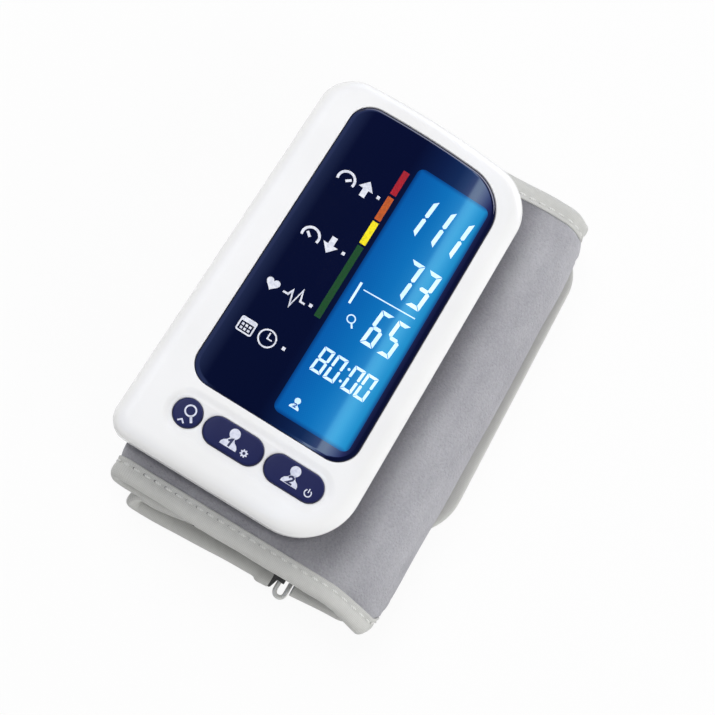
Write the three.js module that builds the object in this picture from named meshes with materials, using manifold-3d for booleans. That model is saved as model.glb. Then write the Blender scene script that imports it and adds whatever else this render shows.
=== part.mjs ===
// One-piece arm-cuff blood pressure monitor: a display housing clamped on a folded bladder cuff.
// Millimetres, +Z up out of the display, +Y up the display, +X to the reader's right, floor at z = 0.
import * as THREE from 'three';
import { mergeVertices } from 'three/addons/utils/BufferGeometryUtils.js';
import Module from 'manifold-3d';

const wasm = await Module();
wasm.setup();

// Clearances shared by every fit
const seatGap = 0.3;
const slideGap = 0.3;
const boreGap = 0.4;
const hairline = 0.01;

// Display window and the white margins round it
const windowWidth = 50;
const windowLength = 93.7;
const windowThickness = 1.6;
const windowSink = 0.1;
const windowBevel = 0.6;
const windowRadii = { topLeft: 5.5, topRight: 9, bottomRight: 6, bottomLeft: 5.5 };
const leftMargin = 10.2;
const rightMargin = 7.4;
const topMargin = 6.5;
const buttonBand = 22.8;

// Housing walls and edges
const housingRadii = { topLeft: 10, topRight: 13, bottomRight: 17, bottomLeft: 7.5 };
const farBow = 2.4;
const farBowReach = 40;
const shellWall = 2;
const shellFloor = 2;
const faceWall = 2.2;
const ledgeThickness = 1.6;
const faceEdgeRadius = 3.2;
const baseEdgeRadius = 3.5;
const baseDraft = 1.8;
const lipHeight = 1.2;
const lipThickness = 0.8;

// Liquid crystal display stack
const glassWidth = 24;
const glassThickness = 1.8;
const glassRightInset = 2;
const glassTopInset = 7.4;
const glassBottomInset = 3;
const guideThickness = 2;
const holderWall = 1.5;

// Push buttons
const roundCapDiameter = 7.9;
const longCapWidth = 17.4;
const capDepth = 8;
const capSpacing = 1.25;
const capRowInset = 14;
const capProud = 0.5;
const capEdge = 0.5;
const capFlange = 0.9;
const capFlangeReach = 1.2;
const capTravel = 0.8;
const dishMargin = 3.2;
const dishDepth = 0.5;
const dishSlope = 0.8;

// Circuit board and what is soldered to it
const boardThickness = 1.2;
const boardStripLength = 20;
const switchSize = 6;
const plungerDiameter = 3;
const pressGap = 0.2;
const chipSize = 8;
const chipHeight = 1.1;
const sensorSize = 8;
const sensorHeight = 4;
const buzzerDiameter = 9;
const buzzerHeight = 4;
const partSpacing = 1.5;

// Cells, contacts and the end door
const cellDiameter = 10.5;
const cellLength = 43.3;
const cellButtonDiameter = 3.8;
const cellButtonHeight = 1.2;
const cellSpacing = 0.7;
const bayWall = 1.2;
const contactSpringLength = 5;
const contactSpringBase = 7;
const contactSpringTip = 4;
const contactPlate = 0.6;
const springTurns = 3;
const springWire = 0.7;
const doorLip = 1.2;
const doorGripDepth = 0.6;
const doorGripWidth = 1.4;
const doorGripCount = 5;

// Air pump, valve and tubing
const motorDiameter = 13;
const motorLength = 22;
const crankDiameter = 6;
const crankThickness = 2;
const crankPinDiameter = 1.6;
const crankPinLength = 1.6;
const crankThrow = 1.6;
const pumpHeadLength = 15;
const pumpHeadRadius = 3;
const valveSize = 9;
const valveLength = 13;
const valvePlungerDiameter = 3;
const valvePlungerProud = 1.2;
const valveStroke = 9;
const valveTravel = 1;
const hoseDiameter = 3.6;
const hoseBore = 1.6;
const teeDiameter = 7;
const pumpSideGap = 4.5;

// Fasteners
const screwDiameter = 2.2;
const screwHeadDiameter = 3.6;
const screwHeadHeight = 1.4;
const bossWall = 1.2;
const bossInsetX = 6.8;
const bossInsetNear = 17;
const bossInsetFar = 10;
const screwBite = 5;

// Cuff cloth: shell, lining and bladder, sewn flat at both edges
const cuffWidth = 142.6;
const cuffShift = 1;
const clothThickness = 0.8;
const bladderThickness = 2.4;
const bindingWidth = 6;
const bindingThickness = 0.8;
const puffSlope = 6;
const bladderInset = 1.5;
const skewCreep = 3.5;

// Cuff wrap, seen from its near end
const lipReach = 5.1;
const underLipStep = 8.9;
const lipRadius = 2.8;
const upperLipRadius = 4.2;
const gussetDepth = 9;
const foldReach = 25.9;

// Closing ring, its keeper, and the strap that threads it
const ringWall = 1.4;
const ringEdge = 0.5;
const ringOverhang = 2.5;
const ringInset = 17;
const strapThickness = 0.5;
const keeperLength = 4;
const keeperWidth = 132;
const strapLead = 1.5;
const tailWidth = 111;
const tailOffset = 14;
const tailNearRadius = 20;
const tailFarRadius = 14;
const tailRootRadius = 0.5;
const tailSkew = 1.4;
const tailReach = 5.1;
const tailRootGap = 7;
const tailCloth = 1;
const tailRim = 1;
const tailRimLap = 5;
const hookThickness = 1;
const hookInset = 2;

// Clamp that holds the cuff to the housing, and the air passage through it
const clampLength = 56;
const clampThickness = 1.2;
const clampRadius = 6;
const clampScrewInset = 5;
const clampPostHeight = 1.5;
const nozzleDiameter = 5;
const nozzleBore = 2;
const nozzleFlange = 9;
const nozzleFlangeHeight = 0.8;
const nozzleRise = 5;
const sealDiameter = 9;
const sealHeight = 1.4;

// Facets
const cornerSteps = 6;
const edgeSteps = 3;
const roundSides = 16;
const smallSides = 10;
const foldSteps = 10;
const lipSteps = 6;
const bowSteps = 6;
const hoseSteps = 8;
const coilSteps = 8;
const coilSides = 5;
const leastRadius = 0.2;
const degree = Math.PI / 180;

// Sizes worked out from the driving ones
const housingWidth = leftMargin + windowWidth + rightMargin;
const housingLength = topMargin + windowLength + buttonBand;
const housingLeft = -housingWidth / 2;
const housingRight = housingWidth / 2;
const housingNear = -housingLength / 2;
const housingFar = housingLength / 2;
const windowX = housingLeft + leftMargin + windowWidth / 2;
const windowY = housingFar - topMargin - windowLength / 2;
const windowNear = windowY - windowLength / 2;
const windowFar = windowY + windowLength / 2;

// Heights inside the housing, from its underside
const cellAxis = shellFloor + seatGap + cellDiameter / 2;
const partingHeight = cellAxis + cellDiameter / 2 + seatGap;
const boardBottom = partingHeight;
const boardTop = boardBottom + boardThickness;
const guideBottom = boardTop + seatGap;
const glassBottom = guideBottom + guideThickness + seatGap;
const windowBottom = glassBottom + glassThickness + seatGap;
const housingHeight = windowBottom + windowThickness + windowSink;
const ledgeTop = windowBottom - seatGap;
const ledgeBottom = ledgeTop - ledgeThickness;
const faceUnderside = housingHeight - dishDepth - faceWall;

// Cuff layers: half thickness at the sewn edge and over the bladder
const sewnHalf = clothThickness + seatGap / 2;
const puffedHalf = clothThickness + seatGap + bladderThickness / 2;
const bindingInner = sewnHalf + seatGap;
const bindingOuter = bindingInner + bindingThickness;
const tailThickness = tailCloth + seatGap + hookThickness;
const underLayer = puffedHalf;
const tailLayer = tailThickness + seatGap + puffedHalf;
const gussetLayer = underLayer + 2 * lipRadius;
const topLayer = gussetLayer + 2 * lipRadius + 2 * upperLipRadius;
const cuffFoldRadius = (topLayer - tailLayer) / 2;
const housingSeat = topLayer + puffedHalf + seatGap;
const foldColumn = housingRight + foldReach - puffedHalf - cuffFoldRadius;
const upperLipColumn = housingLeft + lipReach + puffedHalf + upperLipRadius;
const underLipColumn = housingLeft + lipReach + underLipStep + puffedHalf + lipRadius;
const gussetColumn = underLipColumn + gussetDepth;

// Closing ring and strap lines
const strapBend = ringWall / 2 + seatGap + strapThickness / 2;
const barSpacing = 2 * (strapBend + strapThickness / 2) + seatGap;
const ringColumn = foldColumn - ringInset;
const keeperBar = ringColumn - barSpacing / 2;
const strapBar = ringColumn + barSpacing / 2;
const barHeight = tailCloth / 2 + strapBend;
const underEnd = keeperBar - keeperLength;
const overEnd = strapBar + strapLead;
const tailRoot = strapBar + tailRootGap;
const tailTip = foldColumn + cuffFoldRadius + puffedHalf + tailReach;
const tailMiddle = cuffShift + tailOffset;

// The wrap sits a little towards the far end, and its lowest layer creeps nearer, most at the left
function creep(x, z) {
  const depth = THREE.MathUtils.clamp((gussetLayer - z) / (gussetLayer - underLayer), 0, 1);
  const leftward = (tailTip - x) / (tailTip - underLipColumn);
  return cuffShift - skewCreep * depth * Math.max(leftward, 0);
}

function material(color, roughness, metalness = 0) {
  return new THREE.MeshStandardMaterial({ color, roughness, metalness });
}

function solidOf(geometry) {
  const bare = geometry.clone();
  bare.deleteAttribute('normal');
  bare.deleteAttribute('uv');
  const merged = mergeVertices(bare, 1e-4);
  const vertProperties = new Float32Array(merged.attributes.position.array);
  const triVerts = new Uint32Array(merged.index.array);
  return new wasm.Manifold(new wasm.Mesh({ numProp: 3, vertProperties, triVerts }));
}

function geometryOf(solid) {
  const mesh = solid.getMesh();
  const geometry = new THREE.BufferGeometry();
  geometry.setAttribute('position', new THREE.BufferAttribute(new Float32Array(mesh.vertProperties), 3));
  geometry.setIndex(new THREE.BufferAttribute(new Uint32Array(mesh.triVerts), 1));
  return geometry;
}

function cut(geometry, ...tools) {
  let solid = solidOf(geometry);
  for (const tool of tools) {
    solid = solid.subtract(solidOf(tool));
  }
  return geometryOf(solid);
}

function join(geometry, ...others) {
  let solid = solidOf(geometry);
  for (const other of others) {
    solid = solid.add(solidOf(other));
  }
  return geometryOf(solid);
}

function common(first, second) {
  return geometryOf(solidOf(first).intersect(solidOf(second)));
}

function block(x0, x1, y0, y1, z0, z1) {
  const box = new THREE.BoxGeometry(x1 - x0, y1 - y0, z1 - z0);
  return box.translate((x0 + x1) / 2, (y0 + y1) / 2, (z0 + z1) / 2);
}

function post(x, y, z0, z1, diameter, sides = roundSides) {
  const cylinder = new THREE.CylinderGeometry(diameter / 2, diameter / 2, z1 - z0, sides);
  return cylinder.rotateX(Math.PI / 2).translate(x, y, (z0 + z1) / 2);
}

function axle(x, z, y0, y1, diameter, sides = roundSides) {
  const cylinder = new THREE.CylinderGeometry(diameter / 2, diameter / 2, y1 - y0, sides);
  return cylinder.translate(x, (y0 + y1) / 2, z);
}

// Rounded rectangle with its own radius at each corner, drawn in by an inset
function outline(x0, x1, y0, y1, radii, inset = 0) {
  const corners = [
    [x1 - inset, y1 - inset, radii.topRight, 0, -1, -1],
    [x0 + inset, y1 - inset, radii.topLeft, 90, 1, -1],
    [x0 + inset, y0 + inset, radii.bottomLeft, 180, 1, 1],
    [x1 - inset, y0 + inset, radii.bottomRight, 270, -1, 1],
  ];
  const points = [];
  for (const [x, y, fullRadius, startAngle, towardX, towardY] of corners) {
    const radius = Math.max(fullRadius - inset, leastRadius);
    for (let step = 0; step <= cornerSteps; step += 1) {
      const angle = (startAngle + (90 * step) / cornerSteps) * degree;
      const px = x + towardX * radius + radius * Math.cos(angle);
      const py = y + towardY * radius + radius * Math.sin(angle);
      points.push(new THREE.Vector2(px, py));
    }
  }
  return points;
}

function evenRadii(radius) {
  return { topLeft: radius, topRight: radius, bottomRight: radius, bottomLeft: radius };
}

// Closed solid through a stack of matching outlines, each at its own height
function loft(sections) {
  const count = sections[0].points.length;
  const position = [];
  for (const { points, z } of sections) {
    for (const point of points) {
      position.push(point.x, point.y, z);
    }
  }
  const index = [];
  for (let layer = 0; layer < sections.length - 1; layer += 1) {
    for (let i = 0; i < count; i += 1) {
      const next = (i + 1) % count;
      const a = layer * count + i;
      const b = layer * count + next;
      index.push(a, b, b + count, a, b + count, a + count);
    }
  }
  const top = (sections.length - 1) * count;
  for (const [a, b, c] of THREE.ShapeUtils.triangulateShape(sections[0].points, [])) {
    index.push(a, c, b);
  }
  for (const [a, b, c] of THREE.ShapeUtils.triangulateShape(sections[sections.length - 1].points, [])) {
    index.push(top + a, top + b, top + c);
  }
  const geometry = new THREE.BufferGeometry();
  geometry.setAttribute('position', new THREE.Float32BufferAttribute(position, 3));
  geometry.setIndex(index);
  return geometry;
}

function plate(x0, x1, y0, y1, z0, z1, radius) {
  const points = outline(x0, x1, y0, y1, evenRadii(radius));
  return loft([{ points, z: z0 }, { points, z: z1 }]);
}

// The far edge is bowed: it falls back towards both corners
function bowDrop(x, y) {
  const across = (2 * x) / housingWidth;
  return farBow * across ** 2 * THREE.MathUtils.smoothstep(y, housingFar - farBowReach, housingFar);
}

function bowed(points) {
  const edgeEnd = cornerSteps + 1;
  const edge = [];
  for (let step = 1; step < bowSteps; step += 1) {
    edge.push(points[cornerSteps].clone().lerp(points[edgeEnd], step / bowSteps));
  }
  const whole = [...points.slice(0, edgeEnd), ...edge, ...points.slice(edgeEnd)];
  return whole.map(({ x, y }) => new THREE.Vector2(x, y - bowDrop(x, y)));
}

function housingOutline(inset, drawn = 0) {
  return bowed(outline(housingLeft, housingRight, housingNear + drawn, housingFar, housingRadii, inset));
}

function windowOutline(inset) {
  const x0 = windowX - windowWidth / 2;
  const x1 = windowX + windowWidth / 2;
  return bowed(outline(x0, x1, windowNear, windowFar, windowRadii, inset));
}

// Line that turns as it goes: straight runs and tangent arcs, each point with its outward normal
function walkPath(x, z, heading, moves) {
  const stops = [];
  let angle = heading * degree;
  function mark() {
    stops.push({ x, z, nx: -Math.sin(angle), nz: Math.cos(angle) });
  }
  mark();
  for (const move of moves) {
    if (move.run) {
      x += move.run * Math.cos(angle);
      z += move.run * Math.sin(angle);
      mark();
      continue;
    }
    const side = Math.sign(move.turn);
    const centreX = x - side * move.radius * Math.sin(angle);
    const centreZ = z + side * move.radius * Math.cos(angle);
    for (let step = 0; step < move.steps; step += 1) {
      angle += (move.turn * degree) / move.steps;
      x = centreX + side * move.radius * Math.sin(angle);
      z = centreZ - side * move.radius * Math.cos(angle);
      mark();
    }
  }
  return stops;
}

// Cloth band along a path: stations across its width, each with its inner and outer offset
function band(stops, stations) {
  const rows = stations.map(({ y, inner, outer }) => {
    const near = stops.map((stop) => offsetPoint(stop, outer, y));
    const back = stops.map((stop) => offsetPoint(stop, inner, y)).reverse();
    return [...near, ...back];
  });
  const count = rows[0].length;
  const position = rows.flat(2);
  const index = [];
  for (let row = 0; row < rows.length - 1; row += 1) {
    for (let i = 0; i < count; i += 1) {
      const next = (i + 1) % count;
      const a = row * count + i;
      const b = row * count + next;
      index.push(a, b, b + count, a, b + count, a + count);
    }
  }
  const last = (rows.length - 1) * count;
  const half = stops.length;
  for (let i = 0; i < half - 1; i += 1) {
    const a = i;
    const b = i + 1;
    const c = count - 2 - i;
    const d = count - 1 - i;
    index.push(a, c, b, a, d, c);
    index.push(last + a, last + b, last + c, last + a, last + c, last + d);
  }
  const geometry = new THREE.BufferGeometry();
  geometry.setAttribute('position', new THREE.Float32BufferAttribute(position, 3));
  geometry.setIndex(index);
  return geometry;
}

function offsetPoint(stop, offset, y) {
  const x = stop.x + stop.nx * offset;
  const z = stop.z + stop.nz * offset;
  return [x, y + creep(stop.x, stop.z), z];
}

const root = new THREE.Group();
const housing = new THREE.Group();
housing.position.z = housingSeat;
root.add(housing);

function addPart(group, name, geometry, look) {
  const mesh = new THREE.Mesh(geometry, look);
  mesh.name = name;
  group.add(mesh);
}

// Looks of the pieces
const gloss = material(0xf4f4f6, 0.22);
const backing = material(0xe6e7ea, 0.4);
const navy = material(0x1a2158, 0.3);
const tinted = material(0x0a0d33, 0.06);
const liquid = material(0x1c7fd0, 0.15);
const diffuser = material(0xdfeaf5, 0.5);
const board = material(0x1f5a3a, 0.6);
const dark = material(0x1b1c20, 0.5);
const steel = material(0xb9bcc0, 0.35, 0.9);
const brass = material(0xb8964a, 0.35, 0.9);
const cellSkin = material(0x4a4e58, 0.4, 0.3);
const silicone = material(0xd8dadb, 0.6);
const brushed = material(0x8f8f94, 0.95);
const lining = material(0x9a9c9e, 0.8);
const binding = material(0xb4b6b2, 0.85);
const bladderFilm = material(0x6d7078, 0.5);
const hook = material(0x7d7f82, 0.95);
const ringPlastic = material(0xd9dad6, 0.35);

// Plan positions inside the housing
const innerLeft = housingLeft + shellWall;
const innerRight = housingRight - shellWall;
const innerNear = housingNear + shellWall;
const innerFar = housingFar - shellWall;
const windowRight = windowX + windowWidth / 2;
const glassX = windowRight - glassRightInset - glassWidth / 2;
const glassNear = windowNear + glassBottomInset;
const glassFar = windowFar - glassTopInset;
const holderHalf = glassWidth / 2 + slideGap + holderWall;
const holderNear = glassNear - slideGap - holderWall;
const holderFar = glassFar + slideGap + holderWall;
const cellPitch = cellDiameter + cellSpacing;
const cellColumns = [glassX - cellPitch / 2, glassX + cellPitch / 2];
const bayInnerHalf = cellPitch / 2 + cellDiameter / 2 + slideGap;
const bayLeft = glassX - bayInnerHalf - bayWall;
const bayRight = glassX + bayInnerHalf + bayWall;
const doorInner = innerFar - doorLip;
const cellsFar = doorInner - seatGap - contactPlate - seatGap;
const cellStep = cellLength + cellButtonHeight + seatGap;
const cellsNear = cellsFar - 2 * cellStep + seatGap;
const bayNear = cellsNear - seatGap - contactSpringLength - seatGap - contactPlate - seatGap - bayWall;
const stripNear = innerNear + slideGap;
const stripFar = stripNear + boardStripLength;
const stripRow = stripFar - buzzerDiameter / 2 - partSpacing / 2;
const pumpX = innerLeft + pumpSideGap + motorDiameter / 2;
const pumpRight = pumpX + motorDiameter / 2;
const motorNear = stripFar + partSpacing;
const motorFar = motorNear + motorLength;
const motorAxis = shellFloor + seatGap + motorDiameter / 2;
const crankNear = motorFar + seatGap;
const crankFar = crankNear + crankThickness;
const headNear = crankFar + crankPinLength + seatGap;
const headFar = headNear + pumpHeadLength;
const airRow = (headNear + headFar) / 2;
const airColumn = (pumpRight + bayLeft) / 2;
const clampColumns = [airColumn, (bayRight + innerRight) / 2];
const clampRows = [airRow - clampLength / 2 + clampScrewInset, airRow + clampLength / 2 - clampScrewInset];
const bossPlaces = [
  [housingLeft + bossInsetX, housingNear + bossInsetNear],
  [housingRight - bossInsetX, housingNear + bossInsetNear],
  [housingLeft + bossInsetX, housingFar - bossInsetFar],
  [housingRight - bossInsetX, housingFar - bossInsetFar],
];
const screwHole = screwDiameter + 2 * boreGap;
const headHole = screwHeadDiameter + 2 * boreGap;
const bossDiameter = screwHole + 2 * bossWall;
const headRecess = screwHeadHeight + seatGap;

// Button row, centred under the window
const capRow = housingNear + capRowInset;
const capRowWidth = roundCapDiameter + 2 * longCapWidth + 2 * capSpacing;
const capRowLeft = windowX - capRowWidth / 2;
const roundCapX = capRowLeft + roundCapDiameter / 2;
const firstLongX = capRowLeft + roundCapDiameter + capSpacing + longCapWidth / 2;
const secondLongX = firstLongX + longCapWidth + capSpacing;
const caps = [
  { name: 'memory', x: roundCapX, width: roundCapDiameter, depth: roundCapDiameter },
  { name: 'first_user', x: firstLongX, width: longCapWidth, depth: capDepth },
  { name: 'second_user', x: secondLongX, width: longCapWidth, depth: capDepth },
];

function capPlate(cap, grow, growDepth, z0, z1) {
  const halfWidth = cap.width / 2 + grow;
  const halfDepth = cap.depth / 2 + growDepth;
  const radius = Math.min(halfWidth, halfDepth) - hairline;
  const { x } = cap;
  return plate(x - halfWidth, x + halfWidth, capRow - halfDepth, capRow + halfDepth, z0, z1, radius);
}

// Rounded wall of the housing: straight sides that roll over into the face
function faceBody(inset, z0, z1, radius) {
  const sections = [{ points: housingOutline(inset), z: z0 }];
  for (let step = 0; step <= edgeSteps; step += 1) {
    const angle = (90 * degree * step) / edgeSteps;
    const drawn = inset + radius * (1 - Math.cos(angle));
    sections.push({ points: housingOutline(drawn), z: z1 - radius + radius * Math.sin(angle) });
  }
  return loft(sections);
}

// Base of the housing: its near wall leans in towards the rounded bottom edge
function baseSection(inset, z) {
  const drawn = (baseDraft * Math.max(partingHeight - z, 0)) / partingHeight;
  return { points: housingOutline(inset, drawn), z };
}

function baseBody(inset, z0, z1, radius) {
  const sections = [];
  for (let step = edgeSteps; step >= 0; step -= 1) {
    const angle = (90 * degree * step) / edgeSteps;
    const drawn = inset + radius * (1 - Math.cos(angle));
    sections.push(baseSection(drawn, z0 + radius - radius * Math.sin(angle)));
  }
  sections.push(baseSection(inset, partingHeight));
  if (z1 > partingHeight) {
    sections.push(baseSection(inset, z1));
  }
  return loft(sections);
}

// Face shell: window seat, display opening, dished button row and screw posts
function upperShell() {
  const bottom = partingHeight + seatGap;
  const body = faceBody(0, bottom, housingHeight, faceEdgeRadius);
  const cavity = faceBody(shellWall, bottom - 1, ledgeBottom, faceEdgeRadius / 2);
  const rebateInset = shellWall - lipThickness - slideGap;
  const rebateTop = partingHeight + lipHeight + seatGap;
  const rebate = loft([
    { points: housingOutline(rebateInset), z: bottom - 1 },
    { points: housingOutline(rebateInset), z: rebateTop },
  ]);
  const seat = loft([
    { points: windowOutline(-slideGap), z: ledgeTop },
    { points: windowOutline(-slideGap), z: housingHeight + 1 },
  ]);
  const glassHalf = glassWidth / 2 + slideGap;
  const sight = block(
    glassX - glassHalf, glassX + glassHalf, glassNear - slideGap, glassFar + slideGap,
    ledgeBottom - 1, ledgeTop + 1,
  );
  const dishBounds = [capRowLeft - dishMargin, capRowLeft + capRowWidth + dishMargin];
  const dishHalf = capDepth / 2 + dishMargin;
  const dishRadii = evenRadii(dishHalf - dishSlope);
  const dishFloor = outline(...dishBounds, capRow - dishHalf, capRow + dishHalf, dishRadii, dishSlope);
  const dishRim = outline(...dishBounds, capRow - dishHalf, capRow + dishHalf, dishRadii, -dishSlope);
  const dish = loft([
    { points: dishFloor, z: housingHeight - dishDepth },
    { points: dishRim, z: housingHeight + dishDepth },
  ]);
  const pocketHalf = capDepth / 2 + capFlangeReach + slideGap;
  const pocketSide = Math.max(dishMargin / 2, slideGap);
  const pocket = block(
    capRowLeft - pocketSide, capRowLeft + capRowWidth + pocketSide,
    capRow - pocketHalf, capRow + pocketHalf, ledgeBottom - 1, faceUnderside,
  );
  const capHoles = caps.map((cap) => capPlate(cap, slideGap, slideGap, ledgeBottom - 2, housingHeight + 1));
  const shell = cut(body, cavity, rebate, seat, sight, dish, pocket, ...capHoles);
  const posts = bossPlaces.map(([x, y]) => post(x, y, bottom, ledgeBottom + 1, bossDiameter, smallSides));
  const holes = bossPlaces.map(([x, y]) => {
    return post(x, y, bottom - 1, partingHeight + screwBite, screwHole, smallSides);
  });
  return cut(join(shell, ...posts), ...holes);
}

function doorBox(grow, z0, z1, y0, y1) {
  const half = bayInnerHalf + grow;
  return block(glassX - half, glassX + half, y0, y1, z0, z1);
}

// Base shell: tongue, cell bay, screw posts, clamp posts, air hole and the open end of the bay
function lowerShell() {
  const body = baseBody(0, 0, partingHeight, baseEdgeRadius);
  const cavity = baseBody(shellWall, shellFloor, partingHeight + 1, baseEdgeRadius / 2);
  const tongueOuter = housingOutline(shellWall - lipThickness);
  const tongueInner = housingOutline(shellWall);
  const tongueTop = partingHeight + lipHeight;
  const tongueRoot = partingHeight - lipHeight;
  const tongue = cut(
    loft([{ points: tongueOuter, z: tongueRoot }, { points: tongueOuter, z: tongueTop }]),
    loft([{ points: tongueInner, z: tongueRoot - 1 }, { points: tongueInner, z: tongueTop + 1 }]),
  );
  const wallTop = boardBottom - seatGap;
  const bayEnd = innerFar + seatGap;
  const walls = [
    block(bayLeft, bayLeft + bayWall, bayNear, bayEnd, shellFloor / 2, wallTop),
    block(bayRight - bayWall, bayRight, bayNear, bayEnd, shellFloor / 2, wallTop),
    block(bayLeft, bayRight, bayNear, bayNear + bayWall, shellFloor / 2, wallTop),
  ];
  const posts = bossPlaces.map(([x, y]) => {
    return post(x, y, shellFloor / 2, partingHeight, bossDiameter, smallSides);
  });
  const clampTop = shellFloor + clampPostHeight;
  const clampPosts = clampPlaces().map(([x, y]) => {
    return post(x, y, shellFloor / 2, clampTop, bossDiameter, smallSides);
  });
  const holes = bossPlaces.flatMap(([x, y]) => [
    post(x, y, -1, partingHeight + 1, screwHole, smallSides),
    post(x, y, -1, headRecess, headHole, smallSides),
  ]);
  const clampHoles = clampPlaces().map(([x, y]) => post(x, y, -1, clampTop + 1, screwHole, smallSides));
  const airHole = post(airColumn, airRow, -1, shellFloor + 1, nozzleDiameter + 2 * boreGap);
  const mouth = doorBox(0, shellFloor, tongueTop + 1, innerFar - shellWall, housingFar + 1);
  const shell = join(cut(body, cavity), tongue, ...walls, ...posts, ...clampPosts);
  return cut(shell, ...holes, ...clampHoles, airHole, mouth);
}

function clampPlaces() {
  return clampColumns.flatMap((x) => clampRows.map((y) => [x, y]));
}

// End door: a thick plug that fills the gap in the end wall, with grip grooves
function batteryDoor() {
  const z0 = shellFloor + slideGap;
  const z1 = partingHeight;
  const skin = baseBody(0, 0, partingHeight + 1, baseEdgeRadius);
  const plug = common(skin, doorBox(-slideGap, z0, z1, doorInner, housingFar + 1));
  const grooves = [];
  const pitch = (2 * bayInnerHalf) / (doorGripCount + 1);
  for (let groove = 1; groove <= doorGripCount; groove += 1) {
    const x = glassX - bayInnerHalf + groove * pitch;
    const floor = housingFar - bowDrop(x, housingFar) - doorGripDepth;
    const half = doorGripWidth / 2;
    const lower = (z0 + z1) / 2 - cellDiameter / 4;
    const upper = (z0 + z1) / 2 + cellDiameter / 4;
    grooves.push(block(x - half, x + half, floor, housingFar + 1, lower, upper));
  }
  return cut(plug, ...grooves);
}

function displayWindow() {
  const top = windowBottom + windowThickness;
  return loft([
    { points: windowOutline(0), z: windowBottom },
    { points: windowOutline(0), z: top - windowBevel },
    { points: windowOutline(windowBevel), z: top },
  ]);
}

// Heights of the button and switch stack
const flangeTop = faceUnderside - seatGap;
const flangeBottom = flangeTop - capFlange;
const switchBottom = boardTop + seatGap;
const switchTop = flangeBottom - capTravel - pressGap;
const plungerTop = flangeBottom - seatGap;
const plungerBottom = switchBottom + capTravel;

function buttonCap(cap) {
  const top = housingHeight + capProud;
  const halfWidth = cap.width / 2;
  const halfDepth = cap.depth / 2;
  const bounds = [cap.x - halfWidth, cap.x + halfWidth, capRow - halfDepth, capRow + halfDepth];
  const radii = evenRadii(Math.min(halfWidth, halfDepth) - hairline);
  const crown = loft([
    { points: outline(...bounds, radii), z: flangeTop - capFlange / 2 },
    { points: outline(...bounds, radii), z: top - capEdge },
    { points: outline(...bounds, radii, capEdge / 3), z: top - capEdge / 3 },
    { points: outline(...bounds, radii, capEdge), z: top },
  ]);
  return join(crown, capPlate(cap, 0, capFlangeReach, flangeBottom, flangeTop));
}

function switchBody(cap) {
  const half = switchSize / 2;
  const body = block(cap.x - half, cap.x + half, capRow - half, capRow + half, switchBottom, switchTop);
  const bore = plungerDiameter + 2 * slideGap;
  const hole = post(cap.x, capRow, switchBottom - 1, switchTop + 1, bore, smallSides);
  return cut(body, hole);
}

function circuitBoard() {
  const leg = block(glassX - holderHalf, glassX + holderHalf, stripNear, holderFar, boardBottom, boardTop);
  const strip = block(innerLeft, innerRight, stripNear, stripFar, boardBottom, boardTop);
  const edge = housingOutline(shellWall + slideGap);
  const limit = loft([{ points: edge, z: boardBottom - 1 }, { points: edge, z: boardTop + 1 }]);
  const reliefs = bossPlaces.map(([x, y]) => {
    return post(x, y, boardBottom - 1, boardTop + 1, bossDiameter + 2 * slideGap, smallSides);
  });
  return cut(common(join(leg, strip), limit), ...reliefs);
}

function displayHolder() {
  const top = ledgeBottom - seatGap;
  const outer = plate(
    glassX - holderHalf, glassX + holderHalf, holderNear, holderFar, guideBottom, top, holderWall,
  );
  const innerHalf = glassWidth / 2 + slideGap;
  const inner = block(
    glassX - innerHalf, glassX + innerHalf, glassNear - slideGap, glassFar + slideGap,
    guideBottom - 1, top + 1,
  );
  return cut(outer, inner);
}

function displayPlate(z0, thickness) {
  const half = glassWidth / 2;
  return block(glassX - half, glassX + half, glassNear, glassFar, z0, z0 + thickness);
}

function revolve(profile, sides = roundSides) {
  const points = profile.map(([radius, height]) => new THREE.Vector2(radius, height));
  return new THREE.LatheGeometry(points, sides);
}

function dryCell(column, place, flipped) {
  const radius = cellDiameter / 2;
  const whole = cellLength + cellButtonHeight;
  const cell = revolve([
    [0, 0], [radius, 0], [radius, cellLength], [cellButtonDiameter / 2, cellLength],
    [cellButtonDiameter / 2, whole], [0, whole],
  ]);
  if (flipped) {
    cell.rotateZ(Math.PI).translate(0, whole, 0);
  }
  return cell.translate(cellColumns[column], cellsNear + place * cellStep, cellAxis);
}

// Conical contact spring wound along +Y
class SpringLine extends THREE.Curve {
  getPoint(t, target = new THREE.Vector3()) {
    const angle = 2 * Math.PI * springTurns * t;
    const radius = THREE.MathUtils.lerp(contactSpringBase, contactSpringTip, t) / 2 - springWire;
    const y = springWire / 2 + t * (contactSpringLength - springWire);
    return target.set(radius * Math.cos(angle), y, radius * Math.sin(angle));
  }
}

function tubeAlong(curve, steps, diameter, bore, sides) {
  const ring = new THREE.Shape();
  ring.setFromPoints(circlePoints(diameter / 2, sides));
  if (bore > 0) {
    ring.holes.push(new THREE.Path(circlePoints(bore / 2, sides)));
  }
  return new THREE.ExtrudeGeometry(ring, { steps, bevelEnabled: false, extrudePath: curve });
}

function circlePoints(radius, sides) {
  const points = [];
  for (let side = 0; side < sides; side += 1) {
    const angle = (2 * Math.PI * side) / sides;
    points.push(new THREE.Vector2(radius * Math.cos(angle), radius * Math.sin(angle)));
  }
  return points;
}

function contactSpring(column) {
  const y = cellsNear - seatGap - contactSpringLength;
  const coil = tubeAlong(new SpringLine(), springTurns * coilSteps, springWire, 0, coilSides);
  return coil.translate(cellColumns[column], y, cellAxis);
}

function contactStrip(y) {
  const half = bayInnerHalf - slideGap;
  const rise = contactSpringBase / 2;
  return block(glassX - half, glassX + half, y, y + contactPlate, cellAxis - rise, cellAxis + rise);
}

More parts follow.
